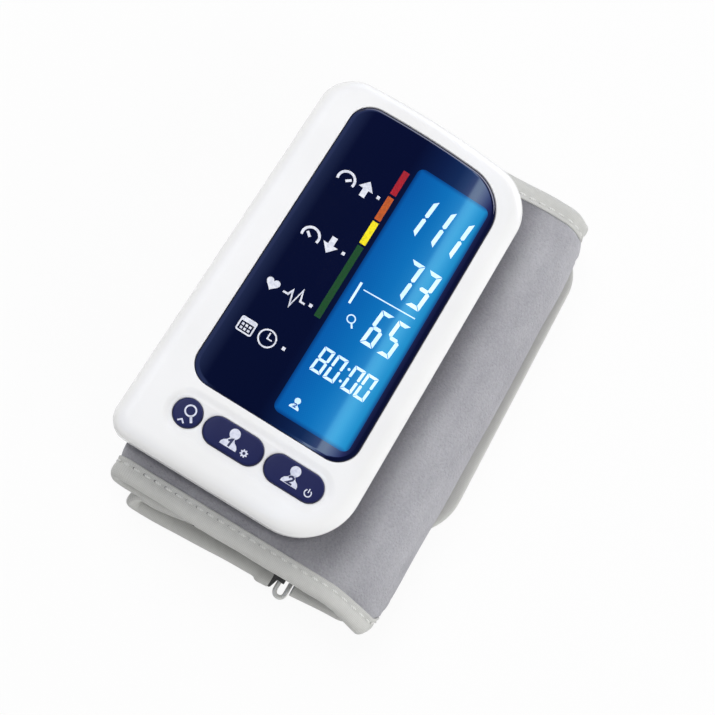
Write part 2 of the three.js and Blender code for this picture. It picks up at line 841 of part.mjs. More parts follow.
function pumpCrank() {
  const disc = axle(pumpX, motorAxis, crankNear, crankFar, crankDiameter, smallSides);
  const pinFar = crankFar + crankPinLength;
  const pin = axle(pumpX + crankThrow, motorAxis, crankNear, pinFar, crankPinDiameter, smallSides);
  return join(disc, pin);
}

// Air lines: the tee stands on the nozzle, hoses run to the pump, the sensor and the valve
const sensorTop = boardBottom - seatGap;
const airAxis = sensorTop - sensorHeight / 2;
const nozzleTop = shellFloor + nozzleRise;
const teeHalf = teeDiameter / 2;
const valveNear = headFar + partSpacing;
const valveFar = valveNear + valveLength;
const valveMiddle = (valveNear + valveFar) / 2;
const valveAxis = shellFloor + seatGap + valveSize / 2;

function straightHose(from, to) {
  return tubeAlong(new THREE.LineCurve3(from, to), 1, hoseDiameter, hoseBore, smallSides);
}

function pumpHose() {
  const start = new THREE.Vector3(pumpRight + seatGap, airRow, airAxis);
  return straightHose(start, new THREE.Vector3(airColumn - teeHalf - seatGap, airRow, airAxis));
}

function sensorHose() {
  const start = new THREE.Vector3(airColumn, stripRow + sensorSize / 2 + seatGap, airAxis);
  return straightHose(start, new THREE.Vector3(airColumn, airRow - teeHalf - seatGap, airAxis));
}

function valveHose() {
  const faceX = pumpX + valveSize / 2 + seatGap;
  const startY = airRow + teeHalf + seatGap;
  const bend = new THREE.CubicBezierCurve3(
    new THREE.Vector3(airColumn, startY, airAxis),
    new THREE.Vector3(airColumn, (startY + valveMiddle) / 2 + hoseDiameter, airAxis),
    new THREE.Vector3((airColumn + faceX) / 2, valveMiddle, valveAxis),
    new THREE.Vector3(faceX, valveMiddle, valveAxis),
  );
  return tubeAlong(bend, hoseSteps, hoseDiameter, hoseBore, smallSides);
}

function valveBody() {
  const half = valveSize / 2;
  const body = block(pumpX - half, pumpX + half, valveNear, valveFar, valveAxis - half, valveAxis + half);
  const bore = valvePlungerDiameter + 2 * slideGap;
  return cut(body, axle(pumpX, valveAxis, valveFar - valveStroke, valveFar + 1, bore, smallSides));
}

function upright(profile, x, y, z, sides = smallSides) {
  return revolve(profile, sides).rotateX(Math.PI / 2).translate(x, y, z);
}

function shellScrew(x, y) {
  const end = partingHeight + screwBite - seatGap;
  return upright([
    [0, 0], [screwHeadDiameter / 2, 0], [screwHeadDiameter / 2, screwHeadHeight],
    [screwDiameter / 2, screwHeadHeight], [screwDiameter / 2, end], [0, end],
  ], x, y, 0);
}

addPart(housing, 'upper_shell', upperShell(), gloss);
addPart(housing, 'lower_shell', lowerShell(), backing);
addPart(housing, 'battery_door', batteryDoor(), backing);
addPart(housing, 'display_window', displayWindow(), tinted);
addPart(housing, 'lcd_glass', displayPlate(glassBottom, glassThickness), liquid);
addPart(housing, 'backlight_guide', displayPlate(guideBottom, guideThickness), diffuser);
addPart(housing, 'lcd_holder', displayHolder(), diffuser);
addPart(housing, 'circuit_board', circuitBoard(), board);
for (const cap of caps) {
  const plunger = post(cap.x, capRow, plungerBottom, plungerTop, plungerDiameter, smallSides);
  addPart(housing, `${cap.name}_button`, buttonCap(cap), navy);
  addPart(housing, `${cap.name}_switch`, switchBody(cap), dark);
  addPart(housing, `${cap.name}_plunger`, plunger, dark);
}
const chipX = (firstLongX + secondLongX) / 2;
const chipHalf = chipSize / 2;
const chip = block(
  chipX - chipHalf, chipX + chipHalf, capRow - chipHalf, capRow + chipHalf,
  switchBottom, switchBottom + chipHeight,
);
addPart(housing, 'controller_chip', chip, dark);
const sensorHalf = sensorSize / 2;
const sensor = block(
  airColumn - sensorHalf, airColumn + sensorHalf, stripRow - sensorHalf, stripRow + sensorHalf,
  sensorTop - sensorHeight, sensorTop,
);
addPart(housing, 'pressure_sensor', sensor, dark);
const buzzerX = airColumn - sensorHalf - partSpacing - buzzerDiameter / 2;
const buzzer = post(buzzerX, stripRow, sensorTop - buzzerHeight, sensorTop, buzzerDiameter);
addPart(housing, 'buzzer', buzzer, dark);
for (const column of [0, 1]) {
  for (const place of [0, 1]) {
    addPart(housing, `cell_${2 * column + place + 1}`, dryCell(column, place, column === 1), cellSkin);
  }
  addPart(housing, `contact_spring_${column + 1}`, contactSpring(column), steel);
}
addPart(housing, 'spring_contact_strip', contactStrip(bayNear + bayWall + seatGap), steel);
addPart(housing, 'door_contact_strip', contactStrip(doorInner - seatGap - contactPlate), steel);
addPart(housing, 'pump_motor', axle(pumpX, motorAxis, motorNear, motorFar, motorDiameter), steel);
addPart(housing, 'pump_crank', pumpCrank(), brass);
const headHalf = motorDiameter / 2;
const pumpHead = plate(
  pumpX - headHalf, pumpX + headHalf, headNear, headFar,
  motorAxis - headHalf, motorAxis + headHalf, pumpHeadRadius,
);
addPart(housing, 'pump_head', pumpHead, dark);
addPart(housing, 'valve_body', valveBody(), dark);
const plungerNear = valveFar - valveStroke + seatGap + valveTravel;
const valvePlunger = axle(
  pumpX, valveAxis, plungerNear, valveFar + valvePlungerProud, valvePlungerDiameter, smallSides,
);
addPart(housing, 'valve_plunger', valvePlunger, brass);
const tee = post(airColumn, airRow, nozzleTop + seatGap, airAxis + teeHalf, teeDiameter);
addPart(housing, 'air_tee', tee, dark);
addPart(housing, 'pump_hose', pumpHose(), silicone);
addPart(housing, 'sensor_hose', sensorHose(), silicone);
addPart(housing, 'valve_hose', valveHose(), silicone);
bossPlaces.forEach(([x, y], i) => addPart(housing, `shell_screw_${i + 1}`, shellScrew(x, y), steel));

// Cuff wrap from the ring: along the floor, round the folded left side, over the top and back under
function cuffPath(trim) {
  return walkPath(underEnd - trim, underLayer, 180, [
    { run: underEnd - trim - underLipColumn },
    { radius: lipRadius, turn: -180, steps: lipSteps },
    { run: gussetColumn - underLipColumn },
    { radius: lipRadius, turn: 180, steps: lipSteps },
    { run: gussetColumn - upperLipColumn },
    { radius: upperLipRadius, turn: -180, steps: lipSteps },
    { run: foldColumn - upperLipColumn },
    { radius: cuffFoldRadius, turn: -180, steps: foldSteps },
    { run: foldColumn - overEnd - trim },
  ]);
}

const clothHalf = cuffWidth / 2 - bindingThickness - seatGap;
const sewnReach = cuffWidth / 2 - bindingWidth;
const puffReach = sewnReach - puffSlope;

// Cloth lies flat in the binding and swells over the bladder
function clothLayer(facing) {
  const rows = [
    [-clothHalf, sewnHalf], [-sewnReach, sewnHalf], [-puffReach, puffedHalf],
    [puffReach, puffedHalf], [sewnReach, sewnHalf], [clothHalf, sewnHalf],
  ];
  const stations = rows.map(([y, half]) => {
    if (facing > 0) {
      return { y, inner: half - clothThickness, outer: half };
    }
    return { y, inner: -half, outer: clothThickness - half };
  });
  return band(cuffPath(0), stations);
}

// Folded tape along one edge, a U in section
function edgeBinding(side) {
  const edge = (side * cuffWidth) / 2;
  const web = edge - side * bindingThickness;
  const leg = edge - side * bindingWidth;
  const section = [
    [edge, bindingOuter], [edge, -bindingOuter], [leg, -bindingOuter], [leg, -bindingInner],
    [web, -bindingInner], [web, bindingInner], [leg, bindingInner], [leg, bindingOuter],
  ];
  return sweep(cuffPath(0), side > 0 ? section.reverse() : section);
}

// One closed section carried along a path
function sweep(stops, section) {
  const count = section.length;
  const position = stops.flatMap((stop) => section.flatMap(([y, offset]) => offsetPoint(stop, offset, y)));
  const index = [];
  for (let stop = 0; stop < stops.length - 1; stop += 1) {
    for (let i = 0; i < count; i += 1) {
      const next = (i + 1) % count;
      const a = stop * count + i;
      const b = stop * count + next;
      index.push(a, b, b + count, a, b + count, a + count);
    }
  }
  const last = (stops.length - 1) * count;
  const flat = section.map(([y, offset]) => new THREE.Vector2(y, offset));
  for (const [a, b, c] of THREE.ShapeUtils.triangulateShape(flat, [])) {
    index.push(a, c, b, last + a, last + b, last + c);
  }
  const geometry = new THREE.BufferGeometry();
  geometry.setAttribute('position', new THREE.Float32BufferAttribute(position, 3));
  geometry.setIndex(index);
  return geometry;
}

// Clamp plate under the top cloth, screwed from inside the housing
const clampLeft = clampColumns[0] - clampScrewInset;
const clampRight = clampColumns[1] + clampScrewInset;
const clampNear = airRow - clampLength / 2;
const clampFar = airRow + clampLength / 2;
const clampTopFace = topLayer + puffedHalf - clothThickness - seatGap;
const clampUnderside = clampTopFace - clampThickness;

function clampBlank(grow, z0, z1) {
  return plate(
    clampLeft - grow, clampRight + grow, clampNear - grow, clampFar + grow, z0, z1, clampRadius,
  );
}

function clampPlate() {
  const blank = clampBlank(0, clampUnderside, clampTopFace);
  const holes = clampPlaces().map(([x, y]) => {
    return post(x, y, clampUnderside - 1, clampTopFace + 1, screwHole, smallSides);
  });
  const flangeHole = nozzleFlange + 2 * slideGap;
  return cut(blank, ...holes, post(airColumn, airRow, clampUnderside - 1, clampTopFace + 1, flangeHole));
}

function outerCloth() {
  const holeTop = topLayer + puffedHalf + 1;
  const holes = clampPlaces().map(([x, y]) => post(x, y, topLayer, holeTop, screwHole, smallSides));
  const airHole = post(airColumn, airRow, topLayer, holeTop, nozzleDiameter + 2 * boreGap);
  return cut(clothLayer(1), ...holes, airHole);
}

function bladder() {
  const half = bladderThickness / 2;
  const reach = puffReach - bladderInset;
  const bag = band(cuffPath(bladderInset), [
    { y: -reach, inner: -half, outer: half },
    { y: reach, inner: -half, outer: half },
  ]);
  const pocketFloor = clampUnderside - seatGap;
  const pocket = clampBlank(slideGap, pocketFloor, topLayer + bladderThickness);
  const portTop = topLayer + bladderThickness;
  const port = post(airColumn, airRow, topLayer - half / 2, portTop, nozzleBore, smallSides);
  return cut(bag, pocket, port);
}

function clampScrew(x, y) {
  const headSeat = housingSeat + shellFloor + clampPostHeight + seatGap;
  return upright([
    [0, clampUnderside], [screwDiameter / 2, clampUnderside], [screwDiameter / 2, headSeat],
    [screwHeadDiameter / 2, headSeat], [screwHeadDiameter / 2, headSeat + screwHeadHeight],
    [0, headSeat + screwHeadHeight],
  ], x, y, 0);
}

function airNozzle() {
  const flangeFoot = clampTopFace - nozzleFlangeHeight;
  const top = housingSeat + nozzleTop;
  return upright([
    [nozzleBore / 2, flangeFoot], [nozzleFlange / 2, flangeFoot], [nozzleFlange / 2, clampTopFace],
    [nozzleDiameter / 2, clampTopFace], [nozzleDiameter / 2, top], [nozzleBore / 2, top],
    [nozzleBore / 2, flangeFoot],
  ], airColumn, airRow, 0, roundSides);
}

function nozzleSeal() {
  const foot = shellFloor + seatGap;
  const inner = nozzleDiameter / 2 + slideGap;
  return upright([
    [inner, foot], [sealDiameter / 2, foot], [sealDiameter / 2, foot + sealHeight],
    [inner, foot + sealHeight], [inner, foot],
  ], airColumn, airRow, 0, roundSides);
}

// Long narrow ring past both edges of the cuff
function closingRing() {
  const halfWidth = barSpacing / 2 + ringWall / 2 - ringEdge;
  const halfLength = cuffWidth / 2 + ringOverhang - ringEdge;
  const slotHalf = barSpacing / 2 - ringWall / 2 + ringEdge;
  const slotLength = halfLength - ringWall + 2 * ringEdge;
  const y = creep(ringColumn, underLayer);
  const shape = new THREE.Shape(
    outline(-halfWidth, halfWidth, y - halfLength, y + halfLength, evenRadii(halfWidth - hairline)),
  );
  shape.holes.push(new THREE.Path(
    outline(-slotHalf, slotHalf, y - slotLength, y + slotLength, evenRadii(slotHalf - hairline)),
  ));
  const ring = new THREE.ExtrudeGeometry(shape, {
    depth: ringWall - 2 * ringEdge,
    bevelThickness: ringEdge,
    bevelSize: ringEdge,
    bevelSegments: 1,
  });
  return ring.translate(ringColumn, 0, barHeight - ringWall / 2 + ringEdge);
}

function strip(stops, width, middle) {
  const half = strapThickness / 2;
  return band(stops, [
    { y: middle - width / 2, inner: -half, outer: half },
    { y: middle + width / 2, inner: -half, outer: half },
  ]);
}

function ringKeeper() {
  const leaf = keeperBar - underEnd - seatGap;
  const stops = walkPath(underEnd + seatGap, barHeight - strapBend, 0, [
    { run: leaf },
    { radius: strapBend, turn: 180, steps: lipSteps },
    { run: leaf },
  ]);
  return strip(stops, keeperWidth, 0);
}

function strapFold() {
  const stops = walkPath(overEnd - seatGap, barHeight + strapBend, 180, [
    { run: overEnd - seatGap - strapBar },
    { radius: strapBend, turn: 180, steps: lipSteps },
    { run: tailRoot - seatGap - strapBar },
  ]);
  return strip(stops, tailWidth, tailMiddle - creep(tailRoot, 0));
}

// Free end of the strap: round-cornered tongue with a taped rim and a hook patch on its inner face
function tailPlate(inset, rootX, z0, z1) {
  const half = tailWidth / 2 - inset;
  const tip = tailTip - inset;
  const radii = {
    topLeft: tailRootRadius,
    topRight: Math.max(tailFarRadius - inset, tailRootRadius),
    bottomRight: Math.max(tailNearRadius - inset, tailRootRadius),
    bottomLeft: tailRootRadius,
  };
  const square = outline(rootX, tip, tailMiddle - half, tailMiddle + half, radii);
  const points = square.map(({ x, y }) => {
    const outward = (x - tailRoot) / (tailTip - tailRoot);
    const across = (2 * (tailMiddle - y)) / tailWidth;
    return new THREE.Vector2(x + tailSkew * Math.max(outward, 0) * across, y);
  });
  return loft([{ points, z: z0 }, { points, z: z1 }]);
}

function tailRimTape() {
  const lapFoot = tailCloth + seatGap;
  const blank = tailPlate(0, tailRoot, 0, tailThickness);
  const clothRoom = tailPlate(tailRim, tailRoot - 1, -1, lapFoot);
  const hookRoom = tailPlate(tailRimLap, tailRoot - 1, lapFoot - seatGap, tailThickness + 1);
  return cut(blank, clothRoom, hookRoom);
}

addPart(root, 'cuff_outer_cloth', outerCloth(), brushed);
addPart(root, 'cuff_lining', clothLayer(-1), lining);
addPart(root, 'air_bladder', bladder(), bladderFilm);
addPart(root, 'near_edge_binding', edgeBinding(-1), binding);
addPart(root, 'far_edge_binding', edgeBinding(1), binding);
addPart(root, 'clamp_plate', clampPlate(), backing);
clampPlaces().forEach(([x, y], i) => addPart(root, `clamp_screw_${i + 1}`, clampScrew(x, y), steel));
addPart(root, 'air_nozzle', airNozzle(), dark);
addPart(housing, 'nozzle_seal', nozzleSeal(), silicone);
addPart(root, 'closing_ring', closingRing(), ringPlastic);
addPart(root, 'ring_keeper', ringKeeper(), binding);
addPart(root, 'strap_fold', strapFold(), brushed);
addPart(root, 'tail_cloth', tailPlate(tailRim + slideGap, tailRoot, 0, tailCloth), brushed);
addPart(root, 'tail_hook_patch', hookPatch(), hook);
addPart(root, 'tail_rim_tape', tailRimTape(), binding);

function hookPatch() {
  return tailPlate(tailRimLap + slideGap, tailRoot + hookInset, tailCloth + seatGap, tailThickness);
}

// Origin at the middle of the footprint, on the floor
const part = new THREE.Group();
part.add(root);
root.updateMatrixWorld(true);
const bounds = new THREE.Box3().setFromObject(root);
root.position.x = -(bounds.min.x + bounds.max.x) / 2;
root.position.y = -(bounds.min.y + bounds.max.y) / 2;
root.position.z = -bounds.min.z;

export default part;
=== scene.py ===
import math

import bmesh
import bpy
import numpy as np
from mathutils import Matrix, Vector
from mathutils.geometry import tessellate_polygon


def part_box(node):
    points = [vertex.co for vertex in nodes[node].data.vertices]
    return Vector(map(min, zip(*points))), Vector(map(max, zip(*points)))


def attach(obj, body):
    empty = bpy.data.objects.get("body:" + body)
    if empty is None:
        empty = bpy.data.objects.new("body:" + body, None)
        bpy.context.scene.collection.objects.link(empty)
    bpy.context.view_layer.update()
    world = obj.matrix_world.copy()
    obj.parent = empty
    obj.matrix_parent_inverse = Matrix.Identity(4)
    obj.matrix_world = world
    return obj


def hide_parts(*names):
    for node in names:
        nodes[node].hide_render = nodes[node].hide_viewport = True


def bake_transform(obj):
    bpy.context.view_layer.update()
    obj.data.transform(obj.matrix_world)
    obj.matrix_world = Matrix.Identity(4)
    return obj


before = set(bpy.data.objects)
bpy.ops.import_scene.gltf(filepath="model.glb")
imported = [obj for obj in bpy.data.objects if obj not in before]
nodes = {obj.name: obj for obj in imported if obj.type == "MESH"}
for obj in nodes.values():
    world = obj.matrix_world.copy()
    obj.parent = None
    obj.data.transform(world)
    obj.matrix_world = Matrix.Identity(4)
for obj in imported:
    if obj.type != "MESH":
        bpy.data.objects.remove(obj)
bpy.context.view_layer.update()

scene = bpy.context.scene
scene.view_settings.view_transform = "Standard"

# Sizes below are in millimetres, in the frame's own axes
MM = 0.001


def span(node):
    """Lowest and highest corner of a solid, in millimetres."""
    low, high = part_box(node)
    return low / MM, high / MM


def dress(made, body, slot, *solids):
    """Hangs a piece on a body and hides the solids that it stands for. The slot is not used."""
    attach(made, body)
    if solids:
        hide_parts(*solids)


# Finishes


def operators(operation):
    """An operator on values and its reflected form, each of which adds a Math node."""
    return (
        lambda one, two: one.math(operation, one, two),
        lambda one, two: one.math(operation, two, one),
    )


class Value:
    """A number or colour on its way through a tree of nodes, which takes part in sums."""

    __add__, __radd__ = operators("ADD")
    __sub__, __rsub__ = operators("SUBTRACT")
    __mul__, __rmul__ = operators("MULTIPLY")
    __truediv__, __rtruediv__ = operators("DIVIDE")
    __pow__, __rpow__ = operators("POWER")

    def __init__(self, tree, socket):
        self.tree = tree
        self.socket = socket

    def out(self, name):
        return Value(self.tree, self.socket.node.outputs[name])

    def math(self, operation, *terms):
        return self.tree.node("ShaderNodeMath", {"operation": operation}, dict(enumerate(terms)))

    def sine(self):
        return self.math("SINE", self)

    def least(self, other):
        return self.math("MINIMUM", self, other)

    def most(self, other):
        return self.math("MAXIMUM", self, other)

    def between(self, low, high):
        """0 below low, 1 above high, smooth in between."""
        return self.tree.node(
            "ShaderNodeMapRange", {"interpolation_type": "SMOOTHSTEP"},
            {"Value": self, "From Min": low, "From Max": high},
        )


class Nodes:
    """Makes the nodes of one tree."""

    def __init__(self, tree):
        self.tree = tree
        tree.nodes.clear()

    def node(self, kind, settings, sockets):
        made = self.tree.nodes.new(kind)
        for key, value in settings.items():
            if key == "stops":
                ramp = made.color_ramp
                while len(ramp.elements) < len(value):
                    ramp.elements.new(0.5)
                for element, (place, colour) in zip(ramp.elements, value):
                    element.position = place
                    element.color = (*colour, 1)
            elif key == "ramp":
                made.color_ramp.interpolation = value
            else:
                setattr(made, key, value)
        for key, value in sockets.items():
            self.feed(made, key, value)
        if not made.outputs:
            return None
        shown = [socket for socket in made.outputs if socket.enabled]
        return Value(self, shown[0] if shown else made.outputs[0])

    def feed(self, made, key, value):
        named = {socket.identifier: socket for socket in made.inputs}
        socket = named[key] if key in named else made.inputs[key]
        if isinstance(value, Value):
            value = value.socket
        if isinstance(value, bpy.types.NodeSocket):
            self.tree.links.new(value, socket)
        elif socket.type == "RGBA" and len(value) == 3:
            socket.default_value = (*value, 1)
        else:
            socket.default_value = value

    def seen(self):
        """1 on rays that show a thing itself: from the camera, off a gloss or through a glass."""
        path = self.node("ShaderNodeLightPath", {}, {})
        return path.out("Is Camera Ray").most(path.out("Is Glossy Ray")).most(path.out("Is Transmission Ray"))


class Finish(Nodes):
    """A procedural material: one shader, and the nodes that feed it."""

    def __init__(self, name, **constants):
        self.material = bpy.data.materials.new(name)
        self.material.use_nodes = True
        super().__init__(self.material.node_tree)
        self.shader = self.tree.nodes.new("ShaderNodeBsdfPrincipled")
        self.node("ShaderNodeOutputMaterial", {}, {"Surface": self.shader.outputs[0]})
        self.spot = self.place()
        for socket, value in constants.items():
            self.set(socket.replace("_", " "), value)
        self.material.diffuse_color = (*self.shader.inputs["Base Color"].default_value[:3], 1)

    def set(self, socket, value):
        self.feed(self.shader, socket, value)

    def done(self, colour, roughness, relief=None, depth=0.0):
        """The material, with its colour, its gloss and relief of a depth in millimetres."""
        self.set("Base Color", colour)
        self.set("Roughness", roughness)
        if relief is not None:
            raised = {"Height": relief, "Distance": depth * MM, "Strength": 1.0}
            self.set("Normal", self.node("ShaderNodeBump", {}, raised))
        return self.material

    def place(self, scale=(1, 1, 1), turn=(0, 0, 0)):
        """Object coordinates, stretched and turned."""
        spot = self.node("ShaderNodeTexCoord", {}, {}).out("Object")
        return self.node("ShaderNodeMapping", {}, {"Vector": spot, "Scale": scale, "Rotation": turn})

    def axes(self, vector):
        apart = self.node("ShaderNodeSeparateXYZ", {}, {"Vector": vector})
        return apart.out("X"), apart.out("Y"), apart.out("Z")

    def noise(self, scale, detail=3, roughness=0.55, spot=None):
        return self.node("ShaderNodeTexNoise", {}, {
            "Vector": spot or self.spot, "Scale": scale, "Detail": detail, "Roughness": roughness,
        })

    def cells(self, scale):
        return self.node("ShaderNodeTexVoronoi", {"feature": "F1"}, {"Vector": self.spot, "Scale": scale})

    def mix(self, factor, first, second):
        made = self.node(
            "ShaderNodeMix", {"data_type": "RGBA"}, {"Factor_Float": factor, "A_Color": first, "B_Color": second},
        )
        colour = [s for s in made.socket.node.outputs if s.identifier == "Result_Color"]
        return Value(self, colour[0])

    def ramp(self, way, stops, along):
        return self.node("ShaderNodeValToRGB", {"ramp": way, "stops": stops}, {"Fac": along})


def ink(red, green, blue):
    """A colour as it looks on a screen, 0 to 255, as light."""
    parts = [c / 255 for c in (red, green, blue)]
    return tuple(c / 12.92 if c < 0.04 else ((c + 0.055) / 1.055) ** 2.4 for c in parts)


def moulded(name, light, dark, roughness, grain, **constants):
    """Injection-moulded plastic: a slow drift of shade and a fine spark-eroded grain."""
    f = Finish(name, IOR=1.5, **constants)
    drift = f.noise(38, 2)
    grit = f.noise(2400, 2)
    gloss = roughness + (drift - 0.5) * 0.1 + (grit - 0.5) * 0.06
    return f.done(f.mix(drift.between(0.3, 0.7), dark, light), gloss, grit, grain)


def tinted_window():
    """Polished window printed navy from behind, with faint wiping marks in its gloss."""
    f = Finish("tinted_window", IOR=1.49)
    wiped = f.noise(70, 4, spot=f.place(scale=(1, 0.3, 1), turn=(0, 0, 0.5)))
    _, y, _ = f.axes(f.spot)
    shade = (f.noise(20, 1) + y * 4.0).between(0.1, 0.9)
    return f.done(f.mix(shade, ink(7, 14, 46), ink(9, 15, 50)), 0.02 + wiped.between(0.5, 0.8) * 0.03)


def lit_glass(low, high):
    """Back-lit liquid crystal: blue that deepens to its soft edge, with a faint cell grid."""
    f = Finish("lit_glass", IOR=1.49, Emission_Strength=0.8, Specular_Tint=(0.45, 1.0, 1.0))
    x, y, _ = f.axes(f.spot)
    inside = (x - low.x * MM).least(high.x * MM - x)
    inside = inside.least(y - low.y * MM).least(high.y * MM - y)
    glow = f.noise(45, 1)
    level = inside.between(-0.0004, 0.0015) * 0.9 + glow.between(0.2, 0.8) * 0.1
    grid = (x * 9000).sine() * (y * 9000).sine()
    across = (x - low.x * MM) / ((high.x - low.x) * MM)
    field = f.ramp("LINEAR", [
        (0.08, ink(2, 94, 172)), (0.45, ink(3, 113, 182)), (0.64, ink(4, 122, 184)), (0.8, ink(5, 146, 196)),
    ], across)
    lit = f.mix(level, ink(4, 52, 118), f.mix(grid * 0.03 + 0.03, field, ink(70, 170, 235)))
    f.set("Emission Color", lit)
    return f.done(f.mix(level, ink(3, 12, 44), ink(2, 30, 72)), 0.03 + glow * 0.02)


def lit_mark(name, colour, dim):
    """A clear segment of the liquid crystal that lets the light through."""
    f = Finish(name, IOR=1.49, Emission_Strength=0.8)
    glow = f.noise(300, 2)
    f.set("Emission Color", f.mix(glow.between(0.3, 0.7), dim, colour))
    return f.done(f.mix(glow, ink(90, 130, 170), ink(120, 160, 190)), 0.05 + glow * 0.04)


def printed(name, light, dark, roughness=0.3):
    """Ink laid on by a screen, a little uneven in its cover."""
    f = Finish(name, IOR=1.5)
    cover = f.noise(900)
    return f.done(f.mix(cover.between(0.3, 0.65), dark, light), roughness + cover * 0.12, cover, 0.01)


def range_colours(low, high):
    """Four printed steps up the bar: green, yellow, orange, red, with a faint painted glow in each step's colour."""
    f = Finish("range_ink", IOR=1.5, Specular_IOR_Level=0.12, Emission_Strength=0.08)
    _, y, _ = f.axes(f.spot)
    cover = f.noise(1100)
    step = f.ramp("CONSTANT", [
        (0.0, ink(24, 76, 32)), (0.482, ink(250, 232, 14)), (0.648, ink(196, 90, 30)), (0.824, ink(172, 22, 38)),
    ], (y / MM - low) / (high - low))
    shade = f.mix(cover.between(0.35, 0.7) * 0.25, step, (0.02, 0.02, 0.02))
    # Painted glow: the print emits faintly in its own colour
    f.set("Emission Color", shade)
    return f.done(shade, 0.22 + cover * 0.1)


# Painted shade on the cloth round the housing, in metres: the corner's radius, and how far the shade reaches
PAINTED_SHADE_CORNER = 0.015
PAINTED_SHADE_RIGHT = (-0.001, 0.0135)
PAINTED_SHADE_NEAR = (-0.0013, 0.0006)
PAINTED_SHADE_TOP = (0.016, 0.012)
PAINTED_SHADE_COLOUR = (0.012, 0.011, 0.016)


def brushed_cloth(name, light, dark, pile, painted_shade_box=None):
    """Loop cloth brushed to a soft nap: tufts about a millimetre across, streaks where it was stroked.

    Round the rim of whatever stands on it, given by its two corners, the colour is darkened as painted shade.
    """
    f = Finish(name, Sheen_Weight=0.25, Sheen_Roughness=0.6, Specular_IOR_Level=0.15)
    tuft = f.noise(1300, 4, 0.7)
    loops = f.cells(1700)
    nap = f.noise(130, 4, 0.6, f.place(scale=(1, 0.35, 1)))
    shade = nap * 0.35 + tuft * 0.4 + f.noise(32, 2) * 0.25
    colour = f.mix(shade.between(0.3, 0.7), dark, light)
    # Painted shade: the colour darkens next to the housing's rim, on the upper layer only
    if painted_shade_box:
        low, high = (corner * MM for corner in painted_shade_box)
        x, y, z = f.axes(f.spot)
        across = (x - (high.x - PAINTED_SHADE_CORNER)).most(0.0)
        along = ((low.y + PAINTED_SHADE_CORNER) - y).most(0.0)
        away = (across * across + along * along) ** 0.5 - PAINTED_SHADE_CORNER
        right = away.between(*PAINTED_SHADE_RIGHT) ** 0.8
        near = away.between(*PAINTED_SHADE_NEAR) * 0.72
        painted_shade = near + (right - near) * (across / (across + along + 0.0001))
        painted_shade = (painted_shade + z.between(*PAINTED_SHADE_TOP)).least(1.0)
        colour = f.mix(painted_shade, f.mix(0.58, colour, PAINTED_SHADE_COLOUR), colour)
    return f.done(colour, 0.82 + tuft * 0.15, tuft * 0.65 + loops * 0.35, pile)


def woven(name, light, dark, rib, relief):
    """Plain-woven tape or lining: ribs that follow the piece, crossed by finer threads."""
    f = Finish(name, Sheen_Weight=0.15, Sheen_Roughness=0.5, Specular_IOR_Level=0.25)
    u, v, _ = f.axes(f.node("ShaderNodeTexCoord", {}, {}).out("UV"))
    turn = 2 * math.pi / MM
    fray = f.noise(700, 3, 0.6)
    ribs = (u * (turn / rib) + fray * 1.2).sine() * 0.5 + 0.5
    threads = (v * (turn / 0.45) + fray * 1.2).sine() * 0.5 + 0.5
    weave = ribs * 0.55 + threads * 0.45
    shade = weave * 0.35 + fray * 0.3 + f.noise(60) * 0.35
    return f.done(f.mix(shade.between(0.2, 0.75), dark, light), 0.72 + fray * 0.2, weave * 0.8 + fray * 0.4, relief)


def spun_thread(name, light, dark):
    """Two-ply sewing thread with the twist showing."""
    f = Finish(name, Sheen_Weight=0.2, Sheen_Roughness=0.4, Specular_IOR_Level=0.3)
    x, y, _ = f.axes(f.spot)
    twist = ((x + y * 0.8) * 9000).sine() * 0.5 + 0.5
    fuzz = f.noise(2500, 2)
    return f.done(f.mix(twist * 0.6 + fuzz * 0.4, dark, light), 0.65 + fuzz * 0.2, twist, 0.08)


def hook_pile(name, light, dark):
    """Rows of tiny stiff hooks."""
    f = Finish(name, Specular_IOR_Level=0.3)
    hooks = f.cells(850)
    haze = f.noise(300)
    shade = hooks.between(0.15, 0.6) * 0.7 + haze * 0.3
    return f.done(f.mix(shade, light, dark), 0.55 + haze * 0.25, 1 - hooks.between(0.1, 0.5), 0.5)


def metal(name, light, dark, roughness):
    """Plated or turned metal with drawing marks along its length."""
    f = Finish(name, Metallic=1.0)
    drawn = f.noise(1500, spot=f.place(scale=(1, 0.08, 1)))
    stain = f.noise(150)
    return f.done(f.mix(drawn * 0.5 + stain * 0.5, dark, light), roughness + drawn * 0.15, drawn, 0.02)


def solder_board():
    """Green mask over copper tracks."""
    f = Finish("solder_board", IOR=1.5)
    spot = f.place(turn=(0, 0, 0.02))
    x, y, _ = f.axes(spot)
    wander = f.noise(120, 1, spot=spot)
    track = ((x + wander * 0.01) * 2600).sine().between(0.55, 0.8)
    across = ((y + wander * 0.012) * 1400).sine().between(0.7, 0.9)
    copper = track.most(across)
    return f.done(f.mix(copper, ink(18, 62, 36), ink(40, 104, 58)), 0.3 + wander * 0.2, copper, 0.04)


def cell_jacket(low, high):
    """Plain cell wrapper, dark with one light band at the button end."""
    f = Finish("cell_jacket", IOR=1.5, Metallic=0.3)
    _, y, _ = f.axes(f.spot)
    band = ((y / MM - low) / (high - low)).between(0.68, 0.685)
    scuff = f.noise(500)
    return f.done(f.mix(band, ink(46, 50, 60), ink(176, 150, 96)), 0.25 + scuff * 0.2, scuff, 0.01)


def soft_rubber(name, light, dark):
    """Silicone tube and seals, mottled with dust."""
    f = Finish(name, IOR=1.42, Subsurface_Weight=0.1, Subsurface_Scale=0.002)
    dust = f.noise(400, 4)
    return f.done(f.mix(dust.between(0.3, 0.7), dark, light), 0.42 + dust * 0.25, dust, 0.03)


